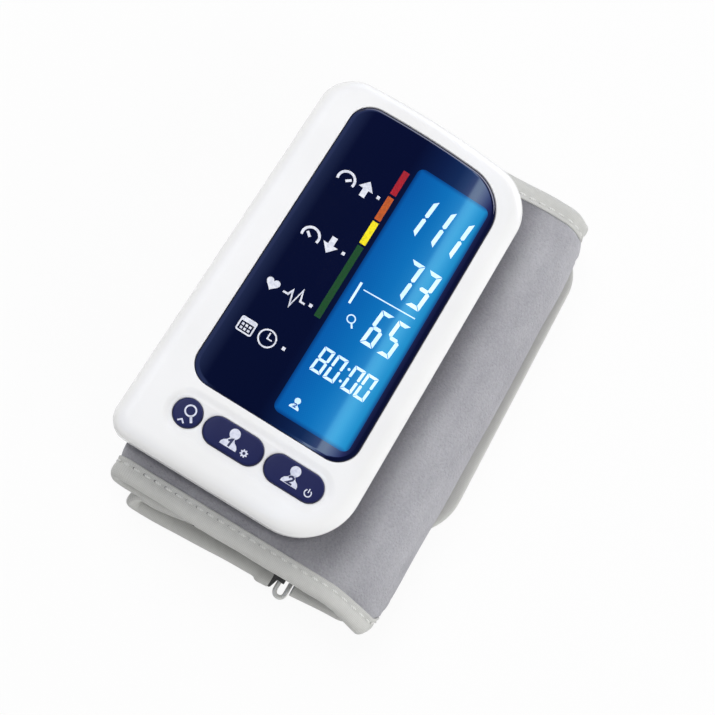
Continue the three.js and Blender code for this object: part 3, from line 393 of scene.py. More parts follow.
face_white = moulded(
    "face_white", ink(247, 247, 247), ink(243, 243, 243), 0.22, 0.004,
    Specular_IOR_Level=0.2, Coat_Weight=0.1, Coat_Roughness=0.1,
)
base_white = moulded("base_white", ink(232, 232, 235), ink(222, 222, 226), 0.38, 0.012)
cap_navy = moulded("cap_navy", ink(27, 31, 76), ink(21, 25, 68), 0.42, 0.008, Specular_IOR_Level=0.18)
ring_grey = moulded("ring_grey", ink(232, 232, 228), ink(220, 220, 214), 0.4, 0.015)
black_plastic = moulded("black_plastic", ink(40, 41, 46), ink(26, 27, 31), 0.45, 0.02)
milky_guide = moulded("milky_guide", ink(228, 236, 245), ink(210, 222, 236), 0.5, 0.01)
window_navy = tinted_window()
print_white = printed("print_white", ink(236, 238, 244), ink(205, 208, 220))
icon_white = printed("icon_white", ink(224, 226, 238), ink(200, 203, 220), 0.4)
icon_navy = printed("icon_navy", ink(26, 30, 72), ink(18, 22, 60), 0.5)
icon_blue = printed("icon_blue", ink(12, 92, 166), ink(8, 78, 150))
# Needle holes: dark spindles sunk in the tape, painted shade in the punctures
needle_hole_shade = printed("needle_hole_shade", ink(92, 92, 90), ink(66, 66, 64), 0.9)
segment_light = lit_mark("segment_light", ink(238, 248, 252), ink(214, 236, 248))
# The outer cloth gets painted shade round the housing, whose corners are given
outer_cloth = brushed_cloth("outer_cloth", ink(189, 189, 194), ink(158, 157, 164), 0.5, span("upper_shell"))
strap_cloth = brushed_cloth("strap_cloth", ink(186, 186, 190), ink(156, 156, 161), 0.4)
lining_cloth = woven("lining_cloth", ink(196, 198, 196), ink(160, 162, 160), 0.45, 0.08)
# The keeper is coloured dark as painted shade of the hollow between the wrap's end and the ring
keeper_painted_shade = woven("keeper_painted_shade", ink(96, 96, 94), ink(68, 68, 67), 0.5, 0.06)
edge_tape = woven("edge_tape", ink(210, 210, 206), ink(191, 191, 187), 0.5, 0.06)
thread_pale = spun_thread("thread_pale", ink(234, 234, 231), ink(208, 208, 204))
hook_grey = hook_pile("hook_grey", ink(150, 152, 156), ink(96, 98, 102))
steel = metal("plated_steel", ink(205, 208, 212), ink(176, 179, 184), 0.25)
brass = metal("turned_brass", ink(214, 180, 104), ink(178, 142, 74), 0.28)
board_green = solder_board()
silicone = soft_rubber("silicone", ink(214, 217, 219), ink(188, 192, 195))
bladder_film = soft_rubber("bladder_film", ink(112, 116, 124), ink(88, 92, 100))


# Shapes


def numbered(rows, columns):
    """Grid of point numbers."""
    return np.arange(rows * columns).reshape(rows, columns)


def closed(index):
    """Grid of point numbers whose rows run round to their first point."""
    return np.hstack([index, index[:, :1]])


def quads(index):
    """Faces between the points of a grid of numbers."""
    corners = (index[:-1, :-1], index[1:, :-1], index[1:, 1:], index[:-1, 1:])
    return np.stack(corners, axis=-1).reshape(-1, 4).tolist()


class Skin:
    """Points and faces of one closed piece, in millimetres."""

    def __init__(self):
        self.points = []
        self.faces = []

    def ring(self, line, z):
        first = len(self.points)
        self.points += [(x, y, z) for x, y in line]
        return list(range(first, len(self.points)))

    def walls(self, *rings):
        self.faces += quads(closed(np.array(rings)).T)

    def web(self, outer, *holes):
        """Flat face inside one ring and outside the others."""
        order = [i for loop in (outer, *holes) for i in loop]
        loops = [[Vector(self.points[i]) for i in loop] for loop in (outer, *holes)]
        self.faces += [tuple(order[i] for i in corner) for corner in tessellate_polygon(loops)]

    def piece(self, name, material, angle):
        return settle(name, solid(name, self.points, self.faces), material, angle)


def solid(name, points, faces):
    """Mesh of points in millimetres."""
    mesh = bpy.data.meshes.new(name)
    mesh.from_pydata((np.asarray(points).reshape(-1, 3) * MM).tolist(), [], faces)
    return mesh


def settle(name, mesh, material, angle, turn=True):
    """Object of a mesh: faces outward, smooth but for the edges sharper than an angle."""
    if turn:
        bm = bmesh.new()
        bm.from_mesh(mesh)
        bmesh.ops.recalc_face_normals(bm, faces=bm.faces)
        bm.to_mesh(mesh)
        bm.free()
    mesh.shade_smooth()
    mesh.set_sharp_from_angle(angle=math.radians(angle))
    mesh.materials.append(material)
    return linked(name, mesh)


def linked(name, data):
    made = bpy.data.objects.new(name, data)
    scene.collection.objects.link(made)
    return made


LEAST_RADIUS = 0.15


def outline(x0, x1, y0, y1, radii, inset, steps):
    """Rounded rectangle, anticlockwise from its top right; radii go round the same way."""
    corners = [(x1, y1, -1, -1), (x0, y1, 1, -1), (x0, y0, 1, 1), (x1, y0, -1, 1)]
    line = []
    for quarter, ((x, y, to_x, to_y), full) in enumerate(zip(corners, radii)):
        radius = max(full - inset, LEAST_RADIUS)
        for step in range(steps + 1):
            turn = math.radians(90 * (quarter + step / steps))
            line.append((
                x + to_x * (inset + radius) + radius * math.cos(turn),
                y + to_y * (inset + radius) + radius * math.sin(turn),
            ))
    return line


def bend(x, y, radius, turns):
    """Points on a circle at angles."""
    return [(x + radius * math.cos(t), y + radius * math.sin(t)) for t in turns]


def circle(x, y, radius, count):
    return bend(x, y, radius, [2 * math.pi * i / count for i in range(count)])


def ease(t):
    t = np.clip(t, 0, 1)
    return t * t * (3 - 2 * t)


def quarter(steps):
    """Angles from 0 to a right angle."""
    return [math.pi / 2 * step / steps for step in range(steps + 1)]


def soft_edge(line_at, reach, drop, top, steps):
    """Lines and heights round a soft edge that leans in by reach as it climbs by drop to top."""
    return [(line_at(reach * (1 - math.cos(t))), top - drop * (1 - math.sin(t))) for t in quarter(steps)]


def stacked(name, rings, material, angle):
    """Piece of lines one above another, each with its height, closed at both ends."""
    skin = Skin()
    made = [skin.ring(*ring) for ring in rings]
    skin.walls(*made)
    skin.web(made[0])
    skin.web(made[-1])
    return skin.piece(name, material, angle)


# Housing: glossy face, satin base

face_low, face_high = span("upper_shell")
window_low, window_high = span("display_window")
FACE_RADII = (13, 10, 6, 17)
WINDOW_RADII = (12, 6.5, 6.5, 7)
BOW = 2.4
BOW_REACH = 40.0
BOW_STEPS = 24
# Inset and drop of each line round the window's edge, from its foot up
WINDOW_EDGE = (
    (0, 0.45), (0.04, 0.37), (0.1, 0.33), (0.3, 0.23), (0.36, 0.21), (0.43, 0.19), (0.66, 0.08), (0.78, 0.03),
    (0.95, 0), (1.3, 0),
)
FACE_WALL = 2.0
FACE_EDGE = (4.4, 3.4)
FACE_UNDER = 42.5
FACE_FOOT = 0.9
FACE_LAP = 1.3
FIT = 0.14
CAP_GAP = 0.13
GUARD = 0.35
LIP = 0.2
CHAMFER = 0.25
DISH_MARGIN = 3.0
DISH_SLOPE = 2.2
DISH_DEPTH = 0.5
CAP_DEPTH = 8.0
CAP_FLANGE = 0.9
CAP_SHOULDER = (0.7, 0.5)
CAP_CROWN = 0.12
KEY_BODY = {
    "memory_button": "memory_key",
    "first_user_button": "first_user_key",
    "second_user_button": "second_user_key",
}
caps = {name: span(name) for name in KEY_BODY}
cap_row = sum(caps["memory_button"][i].y for i in (0, 1)) / 2


def bowed(low, high, radii, inset, steps):
    """Rounded rectangle whose far edge falls back towards both corners."""
    line = outline(low.x, high.x, low.y, high.y, radii, inset, steps)
    middle = (face_low.x + face_high.x) / 2
    start, end = Vector(line[steps]), Vector(line[steps + 1])
    edge = [tuple(start.lerp(end, i / BOW_STEPS)) for i in range(1, BOW_STEPS)]
    drawn = []
    for x, y in line[:steps + 1] + edge + line[steps + 1:]:
        across = 2 * (x - middle) / (face_high.x - face_low.x)
        drawn.append((x, y - BOW * across**2 * ease((y - face_high.y + BOW_REACH) / BOW_REACH)))
    return drawn


def face_line(inset):
    return bowed(face_low, face_high, FACE_RADII, inset, 20)


def window_line(inset):
    return bowed(window_low, window_high, WINDOW_RADII, inset, 16)


def cap_line(name, inset, depth=CAP_DEPTH):
    low, high = caps[name]
    half = min(depth, high.x - low.x) / 2 if depth == CAP_DEPTH else depth / 2
    radius = min(half, (high.x - low.x) / 2) - 0.02
    return outline(low.x, high.x, cap_row - half, cap_row + half, (radius,) * 4, inset, 12)


def dish_line(inset):
    x0 = caps["memory_button"][0].x - DISH_MARGIN
    x1 = caps["second_user_button"][1].x + DISH_MARGIN
    half = CAP_DEPTH / 2 + DISH_MARGIN
    return outline(x0, x1, cap_row - half, cap_row + half, (half - 0.05,) * 4, inset, 16)


def mouth(skin, line_at, gap, top, steps):
    """Rings of an opening: a rounded lip, then a wall down to the face's underside."""
    lip = [(line_at(-gap - LIP * (1 - math.sin(t))), top - LIP * (1 - math.cos(t))) for t in quarter(steps)]
    return [skin.ring(*ring) for ring in (*lip, (line_at(-gap), FACE_UNDER))]


def build_face():
    skin = Skin()
    top = face_high.z
    parting = face_low.z
    inside = [skin.ring(face_line(inset), z) for inset, z in (
        (FACE_FOOT, parting), (FACE_FOOT, parting + FACE_LAP), (FACE_WALL, parting + FACE_LAP), (FACE_WALL, FACE_UNDER),
    )]
    foot = [skin.ring(face_line(CHAMFER), parting), skin.ring(face_line(0), parting + CHAMFER)]
    edge = [skin.ring(*ring) for ring in soft_edge(face_line, *FACE_EDGE, top, 14)]
    guard = skin.ring(face_line(FACE_EDGE[0] + GUARD), top)
    skin.walls(*inside[::-1], *foot, *edge, guard)

    lip = [skin.ring(window_line(-FIT - GUARD - LIP), top)] + mouth(skin, window_line, FIT, top, 3)
    skin.walls(*lip)

    brim = [skin.ring(dish_line(-GUARD), top)]
    for t in np.linspace(0, 1, 11):
        brim.append(skin.ring(dish_line(DISH_SLOPE * t), top - DISH_DEPTH * ease(t)))
    skin.walls(*brim)
    skin.web(guard, lip[0], brim[0])

    wells = [mouth(skin, lambda inset: cap_line(name, inset), CAP_GAP, top - DISH_DEPTH, 2) for name in caps]
    for well in wells:
        skin.walls(*well)
    skin.web(brim[-1], *(well[0] for well in wells))
    skin.web(inside[-1], lip[-1], *(well[-1] for well in wells))
    dress(skin.piece("face_shell", face_white, 50), "monitor", "face_white", "upper_shell")


build_face()


window_rings = [(window_line(0), window_low.z)]
window_rings += [(window_line(inset), window_high.z - drop) for inset, drop in WINDOW_EDGE]
window_panel = stacked("window_panel", window_rings, window_navy, 50)
dress(window_panel, "monitor", "window_navy", "display_window")


def build_cap(name):
    """Push cap with a hidden flange, rounded shoulders and a barely crowned top."""
    low, high = caps[name]
    flange = cap_line(name, 0, high.y - low.y)
    brow = high.z - CAP_CROWN
    shoulder, depth = CAP_SHOULDER
    rings = [(flange, low.z), (flange, low.z + CAP_FLANGE), (cap_line(name, 0), low.z + CAP_FLANGE)]
    rings += soft_edge(lambda inset: cap_line(name, inset), shoulder, depth, brow, 6)
    for reach in (0.6, 1.2, 1.8, 2.4, 3.0):
        rings.append((cap_line(name, shoulder + reach), brow + CAP_CROWN * math.sin(math.pi / 2 * reach / 3)))
    made = stacked(name.replace("button", "cap"), rings, cap_navy, 50)
    dress(made, KEY_BODY[name], "button_navy", name)


for button in caps:
    build_cap(button)


# Display marks and pictograms, placed from the middle of the window

WINDOW_MIDDLE = (25, 46.15)
window_centre = Vector((window_low.x + WINDOW_MIDDLE[0], window_low.y + WINDOW_MIDDLE[1], window_high.z))


def inlay(name, shapes, foot, lift, material, body, slot):
    """Thin raised shapes on a face; each shape is an outer line and any holes."""
    skin = Skin()
    for shape in shapes:
        lines = [[(x + window_centre.x, y + window_centre.y) for x, y in line] for line in shape]
        low, high = ([skin.ring(line, z) for line in lines] for z in (foot, foot + lift))
        for under, over in zip(low, high):
            skin.walls(under, over)
        skin.web(*low)
        skin.web(*high)
    dress(skin.piece(name, material, 30), body, slot)


def stroke(points, width):
    """Outline of a line of even width through points."""
    points = [Vector(p) for p in points]
    left, right = [], []
    for i, point in enumerate(points):
        before = (point - points[i - 1]).normalized() if i else None
        after = (points[i + 1] - point).normalized() if i + 1 < len(points) else None
        along = ((before or after) + (after or before)).normalized()
        side = Vector((-along.y, along.x))
        reach = width / 2 / max(along.dot(after or before), 0.4)
        left.append(point + side * reach)
        right.append(point - side * reach)
    return [[tuple(p) for p in left + right[::-1]]]


def loop(x, y, radius, width):
    return [circle(x, y, radius + width / 2, 28), circle(x, y, radius - width / 2, 28)[::-1]]


def box_line(x0, x1, y0, y1):
    return [[(x1, y1), (x0, y1), (x0, y0), (x1, y0)]]


LIT = {"0": "abcdef", "1": "bc", "3": "abcdg", "5": "acdfg", "6": "acdefg", "7": "abc", "8": "abcdefg"}
LEAN = 0.085


def digit(sign, x, y, width, height, thick):
    """Seven-segment number with mitred corners, leaning to the right; x and y are its lower left corner."""
    t, gap = thick / 2, 0.13 * thick
    half = height / 2
    top = [(-t + gap, height + t), (t + gap, height - t), (width - t - gap, height - t), (width + t - gap, height + t)]
    side = [
        (width + t, height + t - gap), (width - t, height - t - gap),
        (width - t, half + t), (width, half + gap), (width + t, half + t),
    ]
    bar = [(gap, half), (t, half - t), (width - t, half - t), (width - gap, half), (width - t, half + t), (t, half + t)]
    segments = {
        "a": top,
        "b": side,
        "c": [(px, height - py) for px, py in reversed(side)],
        "d": [(px, height - py) for px, py in reversed(top)],
        "e": [(width - px, height - py) for px, py in side],
        "f": [(width - px, py) for px, py in reversed(side)],
        "g": bar,
    }
    return [[[(x + px + LEAN * py, y + py) for px, py in segments[name]]] for name in LIT[sign]]


def person(x, y, size):
    """Head and shoulders."""
    body = [(-1.0, 0.0), (-0.97, 0.28), (-0.8, 0.55), (-0.5, 0.74), (-0.34, 0.95), (-0.3, 1.1)]
    body += [(-px, py) for px, py in reversed(body)]
    return [
        [[(x + px * size, y + py * size) for px, py in reversed(body)]],
        [circle(x, y + 1.62 * size, 0.6 * size, 24)],
    ]


def heart(x, y, size):
    line = []
    for i in range(36):
        t = 2 * math.pi * i / 36
        px = 16 * math.sin(t) ** 3
        py = 13 * math.cos(t) - 5 * math.cos(2 * t) - 2 * math.cos(3 * t) - math.cos(4 * t)
        line.append((x + px * size / 32, y + py * size / 32))
    return [line[::-1]]


def arrow(x, y, way):
    """Upright or hanging arrow."""
    line = [(0, 2.6), (-2.3, -0.1), (-0.85, -0.1), (-0.85, -2.6), (0.85, -2.6), (0.85, -0.1), (2.3, -0.1)]
    line = [(x + px, y + way * py) for px, py in line]
    return [line if way > 0 else line[::-1]]


def magnifier(x, y, radius, width, reach):
    turn = Vector((0.55, -0.835))
    tip = Vector((x, y)) + turn * radius
    return [loop(x, y, radius, width), stroke([tip, tip + turn * reach], width * 1.5)]


LCD = (-0.9, 22.5, -42.3, 38.8)
SURFACE = window_high.z
LCD_LIFT = 0.015
MARK_LIFT = 0.012
lcd_light = lit_glass(window_centre + Vector((LCD[0], LCD[2], 0)), window_centre + Vector((LCD[1], LCD[3], 0)))
inlay("lcd_field", [[outline(*LCD, (2.2,) * 4, 0, 10)]], SURFACE, LCD_LIFT, lcd_light, "monitor", "lcd_blue")

# Numbers on the display: sign, lower left corner, width, height, thickness
NUMBERS = [("1", x, 20.6, 2.5, 11.6, 1.2) for x in (4.8, 10.6, 16.6)]
NUMBERS += [("7", 10.2, 2.6, 3.1, 11.0, 1.2), ("3", 15.8, 2.6, 3.1, 11.0, 1.2)]
NUMBERS += [("6", 10.5, -13.5, 2.8, 10.0, 1.1), ("5", 15.8, -13.5, 2.8, 10.0, 1.1)]
NUMBERS += [(sign, x, -27.5, 2.6, 6.9, 0.8) for x, sign in ((2.5, "8"), (6.7, "0"), (12.2, "0"), (16.2, "0"))]
lit_shapes = [segment for number in NUMBERS for segment in digit(*number)]
lit_shapes += [[circle(11.0, -26.2, 0.4, 12)], [circle(11.4, -22.2, 0.4, 12)]]
lit_shapes += [box_line(1.7, 2.4, -6.4, 0.5), stroke([(3.5, -1.0), (19.7, -0.2)], 0.34)]
lit_shapes += magnifier(4.8, -9.9, 1.15, 0.34, 1.5)
lit_shapes += person(4.1, -39.3, 1.45)
inlay("lit_segments", lit_shapes, SURFACE + LCD_LIFT, MARK_LIFT, segment_light, "monitor", "lcd_blue")

TWO = [(-0.75, -0.55), (-0.5, -0.1), (0.05, 0.05), (0.55, -0.2), (0.5, -0.75), (-0.7, -1.9), (0.8, -1.9)]
lit_figure = stroke([(4.1 + 0.5 * x, -37.85 + 0.5 * y) for x, y in TWO], 0.34)
inlay("lit_figure", [lit_figure], SURFACE + LCD_LIFT + MARK_LIFT, 0.006, icon_blue, "monitor", "lcd_blue")

BAR_STEPS = ((27, 35.1), (18.2, 26.1), (9.9, 17.5), (-14.6, 9.2))
range_ink = range_colours(window_centre.y + BAR_STEPS[-1][0], window_centre.y + BAR_STEPS[0][1])
bar_shapes = [box_line(-4.35, -2.45, *step) for step in BAR_STEPS]
inlay("range_bar", bar_shapes, SURFACE, MARK_LIFT, range_ink, "monitor", "window_navy")

# Down the legend: dials with arrows, heart and pulse, clock and calendar, then the ticks
legend_shapes = [heart(-18.2, -13.2, 4.0)]
for row, way in ((24.2, 1), (4.8, -1)):
    dial = bend(-16.6, row - 0.8, 2.5, np.linspace(math.radians(200), math.radians(-20), 20))
    needle = [(-16.6, row - 1.2)] + bend(-16.6, row - 1.2, 1.75, [math.radians(90 - 50 * way)])
    legend_shapes += [stroke(dial, 0.75), arrow(-10.6, row, way), stroke(needle, 0.75)]
legend_shapes.append(stroke([
    (-14.8, -13.4), (-13.3, -13.4), (-12.6, -11.8), (-11.4, -16.0), (-10.2, -10.3), (-9.4, -13.4), (-8.0, -13.4),
], 0.58))
legend_shapes += [loop(-11.6, -26.9, 2.45, 0.45), stroke([(-11.6, -25.1), (-11.6, -26.9), (-10.2, -26.9)], 0.4)]
legend_shapes.append([
    outline(-20.4, -15.6, -29.2, -24.8, (0.6,) * 4, 0, 4),
    outline(-19.95, -16.05, -28.75, -26.1, (0.3,) * 4, 0, 4)[::-1],
])
for y in (-26.9, -28.0):
    legend_shapes += [box_line(x - 0.35, x + 0.35, y - 0.35, y + 0.35) for x in (-19.1, -18.0, -16.9)]
legend_shapes += [box_line(-6.9, -5.95, y - 0.5, y + 0.5) for y in (24.0, 4.7, -12.8, -26.9)]
inlay("legend_prints", legend_shapes, SURFACE, MARK_LIFT, print_white, "monitor", "window_navy")


def cap_prints(name, shapes, figures=()):
    top = caps[name][1].z
    for word, drawn, foot, lift, material in (
        ("pictogram", shapes, -0.1, 0.112, icon_white), ("figure", figures, 0.004, 0.016, icon_navy),
    ):
        if drawn:
            inlay(name.replace("button", word), drawn, top + foot, lift, material, KEY_BODY[name], "button_navy")


cap_prints("memory_button", magnifier(-18.3, -54.2, 1.45, 0.45, 1.8) + [
    stroke([(-20.0, -58.0), (-19.1, -57.2), (-18.2, -58.0)], 0.42),
])
gear = []
for tooth in range(16):
    turn = 2 * math.pi * tooth / 16
    gear += bend(-0.75, -56.4, 1.12 if tooth % 2 else 0.82, (turn - 0.11, turn + 0.11))
cap_prints(
    "first_user_button",
    person(-5.3, -57.3, 2.45) + [[gear, circle(-0.75, -56.4, 0.42, 16)[::-1]]],
    [stroke([(-6.0, -55.6), (-5.1, -54.95), (-5.3, -57.0)], 0.6)],
)
power = bend(18.9, -56.5, 0.95, np.linspace(math.radians(125), math.radians(415), 22))
cap_prints(
    "second_user_button",
    person(13.3, -57.3, 2.45) + [stroke(power, 0.32), stroke([(18.9, -56.4), (18.9, -55.2)], 0.32)],
    [stroke([(13.3 + x, -55.0 + y) for x, y in TWO], 0.55)],
)


# Cuff: folded wrap of two cloths over an air bladder, taped along both edges

MIDDLE = ((face_low.x + face_high.x) / 2, (face_low.y + face_high.y) / 2)
UNDER_LAYER = 2.3
GUSSET_LAYER = 7.9
TOP_LAYER = 21.9
ON_TOP = TOP_LAYER - 0.1
TAIL_TIP = 64.8
UNDER_LIP = -16.0
UNDER_END = 27.6
OVER_END = 34.4
FOLD_COLUMN = 48.9
GUSSET = -5.7
UPPER_LIP = -22.2
LIP_BEND = 2.8
UPPER_BEND = 4.2
FOLD_BEND = 8.5
CUFF_HALF = 71.3
CUFF_SHIFT = 1.0
SKEW_CREEP = 3.5
TAPE_WIDTH = 6.0
TAPE_STEP = 0.8
SEAM = CUFF_HALF - TAPE_WIDTH
SEWN = 0.95
PUFFED = 2.3
CLOTH = 0.8
HEM = CUFF_HALF - 1.1
# The swelling of the upper cloth: how it is run, and how much of it is kept
SIM_SCALE = 20.0
SIM_FRAMES = 20
SIM_QUALITY = 6
AIR = 4.0
SLACK = 0.035
SWELL_SHARE = 0.45
SWELL_CAP = 1.3
DENT_CAP = 0.2
HOUSING_HOLD = 2.0
BLADDER_TRIM = 4.0
BLADDER_HALF = 55.5
BLADDER_FILM = 0.25
BLADDER_RISE = 0.85
BLADDER_PRESSED = 0.35


def walk(x, z, heading, moves, pitch):
    """Line of runs and tangent arcs: rows of x, z, outward normal and length so far."""
    angle = math.radians(heading)
    length = 0.0
    stops = [(x, z, -math.sin(angle), math.cos(angle), length)]
    for move in moves:
        if len(move) == 1:
            count = max(1, round(move[0] / pitch))
            for _ in range(count):
                x += move[0] / count * math.cos(angle)
                z += move[0] / count * math.sin(angle)
                length += move[0] / count
                stops.append((x, z, -math.sin(angle), math.cos(angle), length))
            continue
        radius, turn = move
        side = math.copysign(1, turn)
        middle = (x - side * radius * math.sin(angle), z + side * radius * math.cos(angle))
        arc = radius * math.radians(abs(turn))
        count = max(10, round(1.6 * arc / pitch))
        for _ in range(count):
            angle += math.radians(turn) / count
            length += arc / count
            x = middle[0] + side * radius * math.sin(angle)
            z = middle[1] - side * radius * math.cos(angle)
            stops.append((x, z, -math.sin(angle), math.cos(angle), length))
    return np.array(stops)


def cuff_walk(trim=0.0, pitch=1.6):
    """The wrap's middle line, from the ring's end underneath to the end over it."""
    return walk(UNDER_END - trim, UNDER_LAYER, 180, [
        (UNDER_END - trim - UNDER_LIP,), (LIP_BEND, -180),
        (GUSSET - UNDER_LIP,), (LIP_BEND, 180),
        (GUSSET - UPPER_LIP,), (UPPER_BEND, -180),
        (FOLD_COLUMN - UPPER_LIP,), (FOLD_BEND, -180),
        (FOLD_COLUMN - OVER_END - trim,),
    ], pitch)


def creep(x, z):
    """The wrap sits a little towards the far end; its lowest layer creeps nearer, most at the left."""
    depth = (GUSSET_LAYER - z) / (GUSSET_LAYER - UNDER_LAYER)
    depth = np.clip(np.where(x > UNDER_END + 1, depth, 2 * depth), 0, 1)
    lowest = SKEW_CREEP * depth * np.maximum((TAIL_TIP - x) / (TAIL_TIP - UNDER_LIP), 0)
    tucked = 1.4 * depth * np.clip((50 - x) / 18, 0, 1) * (x > UNDER_END + 1)
    between = ease((z - GUSSET_LAYER + 3) / 3) * ease((18.5 - z) / 3)
    return CUFF_SHIFT - lowest - tucked + between * (1.9 * ease((x + 14) / 16) - 0.6)


def wobble(a, b, seed):
    """Slow smooth waver from -1 to 1, the same on every run."""
    return (
        np.sin(a * 1.0 + b * 0.7 + seed)
        + 0.6 * np.sin(a * -1.7 + b * 1.9 + seed * 2.3)
        + 0.4 * np.sin(a * 2.9 + b * -2.6 + seed * 3.1)
    ) / 2.0


def fold_pull(x, y):
    """The taped ends of both folds draw in against the puffed cloth."""
    far = 0.45 * ease((y - 5) / 40) + 1.0 * ease((y - 45) / 20) + 1.3 * ease((y - 62) / 8)
    near = 1.5 * ease((-y - 62) / 7)
    lip = 0.5 * (ease((y - 62) / 8) + ease((-y - 62) / 7))
    return (far + near) * ease((x - 38) / 18) - lip * ease((-10 - x) / 14)


def edge_flare(x, y, z):
    """The upper edges spread as they run to the right-hand fold."""
    near = (0.6 - 2.1 * ease((x - 40) / 18)) * ease((-y - 30) / 36)
    far = (1.75 * ease((x - 21) / 24) - 1.8) * ease((y - 30) / 36)
    return (near + far) * ease((z - GUSSET_LAYER) / 8)


def to_frame(x, y, z):
    """Points of the cuff in the frame, from housing-centred ones."""
    x, y, z = np.broadcast_arrays(x, y, z)
    return np.stack([x - fold_pull(x, y) + MIDDLE[0], y + edge_flare(x, y, z) + MIDDLE[1], z], axis=-1)


def wrapped(stops, y, offset):
    """Points at an offset from the wrap's middle line, in rows along it."""
    x, z, nx, nz, _ = stops.T[:, :, None]
    return to_frame(x + nx * offset, y + creep(x, z), z + nz * offset)


def puff(s, y, length):
    """Half thickness of the wrap: sewn flat in the tape and at its ends, swollen in between."""
    inward = np.clip((SEAM + 0.4 - np.abs(y)) / 9.0, 0, 1)
    ends = np.clip(np.minimum(s, length - s) / 7.0, 0, 1)
    swell = np.sqrt(1 - (1 - inward) ** 2) * ease(ends)
    return SEWN + (PUFFED - SEWN) * swell, swell


def weave_map(mesh, u, v):
    """UV map in metres along and across the cloth; a second face of the cloth has the same map."""
    pairs = np.stack(np.broadcast_arrays(u, v), axis=-1).reshape(-1, 2) * MM
    layer = mesh.uv_layers.new(name="weave")
    for corner in mesh.loops:
        layer.data[corner.index].uv = pairs[corner.vertex_index % len(pairs)]


def cloth_sheet(name, outer, inner, u, v, material):
    """Closed sheet between two grids of points, each rows by columns by 3."""
    index = numbered(*outer.shape[:2])
    under = index + index.size
    edge = np.concatenate([index[:-1, 0], index[-1, :-1], index[:0:-1, -1], index[0, :0:-1]])
    faces = quads(index) + [face[::-1] for face in quads(under)]
    faces += quads(closed(np.stack([edge, edge + index.size])))
    mesh = solid(name, [outer, inner], faces)
    weave_map(mesh, u, v)
    return settle(name, mesh, material, 60)


def swollen(grid, sewn):
    """How far each point of a panel moves as the air under it fills it: cloth held where it is sewn down.

    Run at a larger scale, where the solver's unit forces suit the spacing of the points.
    """
    faces = quads(numbered(*grid.shape[:2]))
    panel = linked("swelling_panel", solid("swelling_panel", grid * SIM_SCALE, faces))
    panel.vertex_groups.new(name="sewn").add(np.flatnonzero(sewn).tolist(), 1.0, "REPLACE")
    cloth = panel.modifiers.new("air", "CLOTH")
    cloth.settings.quality = SIM_QUALITY
    cloth.settings.vertex_group_mass = "sewn"
    cloth.settings.use_pressure = True
    cloth.settings.uniform_pressure_force = AIR
    cloth.settings.shrink_min = -SLACK
    cloth.settings.effector_weights.gravity = 0
    cloth.collision_settings.use_collision = False
    cloth.point_cache.frame_end = SIM_FRAMES
    for number in range(1, SIM_FRAMES + 1):
        scene.frame_set(number)
    filled = panel.evaluated_get(bpy.context.evaluated_depsgraph_get()).data
    points = np.empty(grid.size)
    filled.vertices.foreach_get("co", points)
    bpy.data.objects.remove(panel)
    scene.frame_set(1)
    moved = (points.reshape(grid.shape) / (MM * SIM_SCALE) - grid) * SWELL_SHARE
    reach = np.linalg.norm(moved, axis=-1, keepdims=True)
    return moved * SWELL_CAP * np.tanh(reach / SWELL_CAP) / np.maximum(reach, 1e-6)


def swell_panel(faces, stops, across):
    """Swells the outer cloth over the top and round the right-hand fold, between tapes and housing."""
    column, height = stops[:, 0], stops[:, 1]
    rows = np.flatnonzero((height > ON_TOP) | ((column > FOLD_COLUMN) & (height > GUSSET_LAYER)))
    grid = faces[0][rows]
    low, high = (np.array(corner) for corner in span("lower_shell"))
    beside = np.max(np.maximum(low - grid, grid - high)[..., :2], axis=-1)
    sewn = (beside < HOUSING_HOLD) | (np.abs(across)[None, :] > SEAM - 0.1)
    sewn[[0, 1, -2, -1]] = True
    moved = swollen(grid, sewn)
    out = np.stack([stops[rows, 2], 0 * rows, stops[rows, 3]], axis=-1)[:, None, :]
    sunk = np.minimum(np.sum(moved * out, axis=-1, keepdims=True) + DENT_CAP, 0)
    for face in faces:
        face[rows] += moved - sunk * out


def cuff_layer(name, facing, material, node, slot):
    """One cloth of the wrap, on the outer or the inner side of its middle line."""
    stops = cuff_walk()
    s = stops[:, 4:]
    across = np.concatenate([
        np.linspace(-HEM, -SEAM, 5), np.linspace(-SEAM + 0.8, -SEAM + 9, 9), np.linspace(-SEAM + 11.5, SEAM - 11.5, 40),
        np.linspace(SEAM - 9, SEAM - 0.8, 9), np.linspace(SEAM, HEM, 5),
    ])
    y = across[None, :]
    half, swell = puff(s, y, s[-1])
    edge = np.exp(-np.clip(SEAM - np.abs(y), 0, 99) / 7.0)
    dent = 0.16 * (wobble(s / 9.0, y / 11.0, 1.3) - 1) + 0.26 * edge * (wobble(s / 3.4, y / 40.0, 4.1) - 1)
    half = half + dent * swell
    faces = [wrapped(stops, y, off) for off in ((half, half - CLOTH) if facing > 0 else (CLOTH - half, -half))]
    if facing > 0:
        swell_panel(faces, stops, across)
    made = cloth_sheet(name, *faces, s, y, material)
    dress(made, "monitor", slot, node)


cuff_layer("cuff_outer_layer", 1, outer_cloth, "cuff_outer_cloth", "brushed_cloth")
cuff_layer("cuff_inner_layer", -1, lining_cloth, "cuff_lining", "lining_cloth")


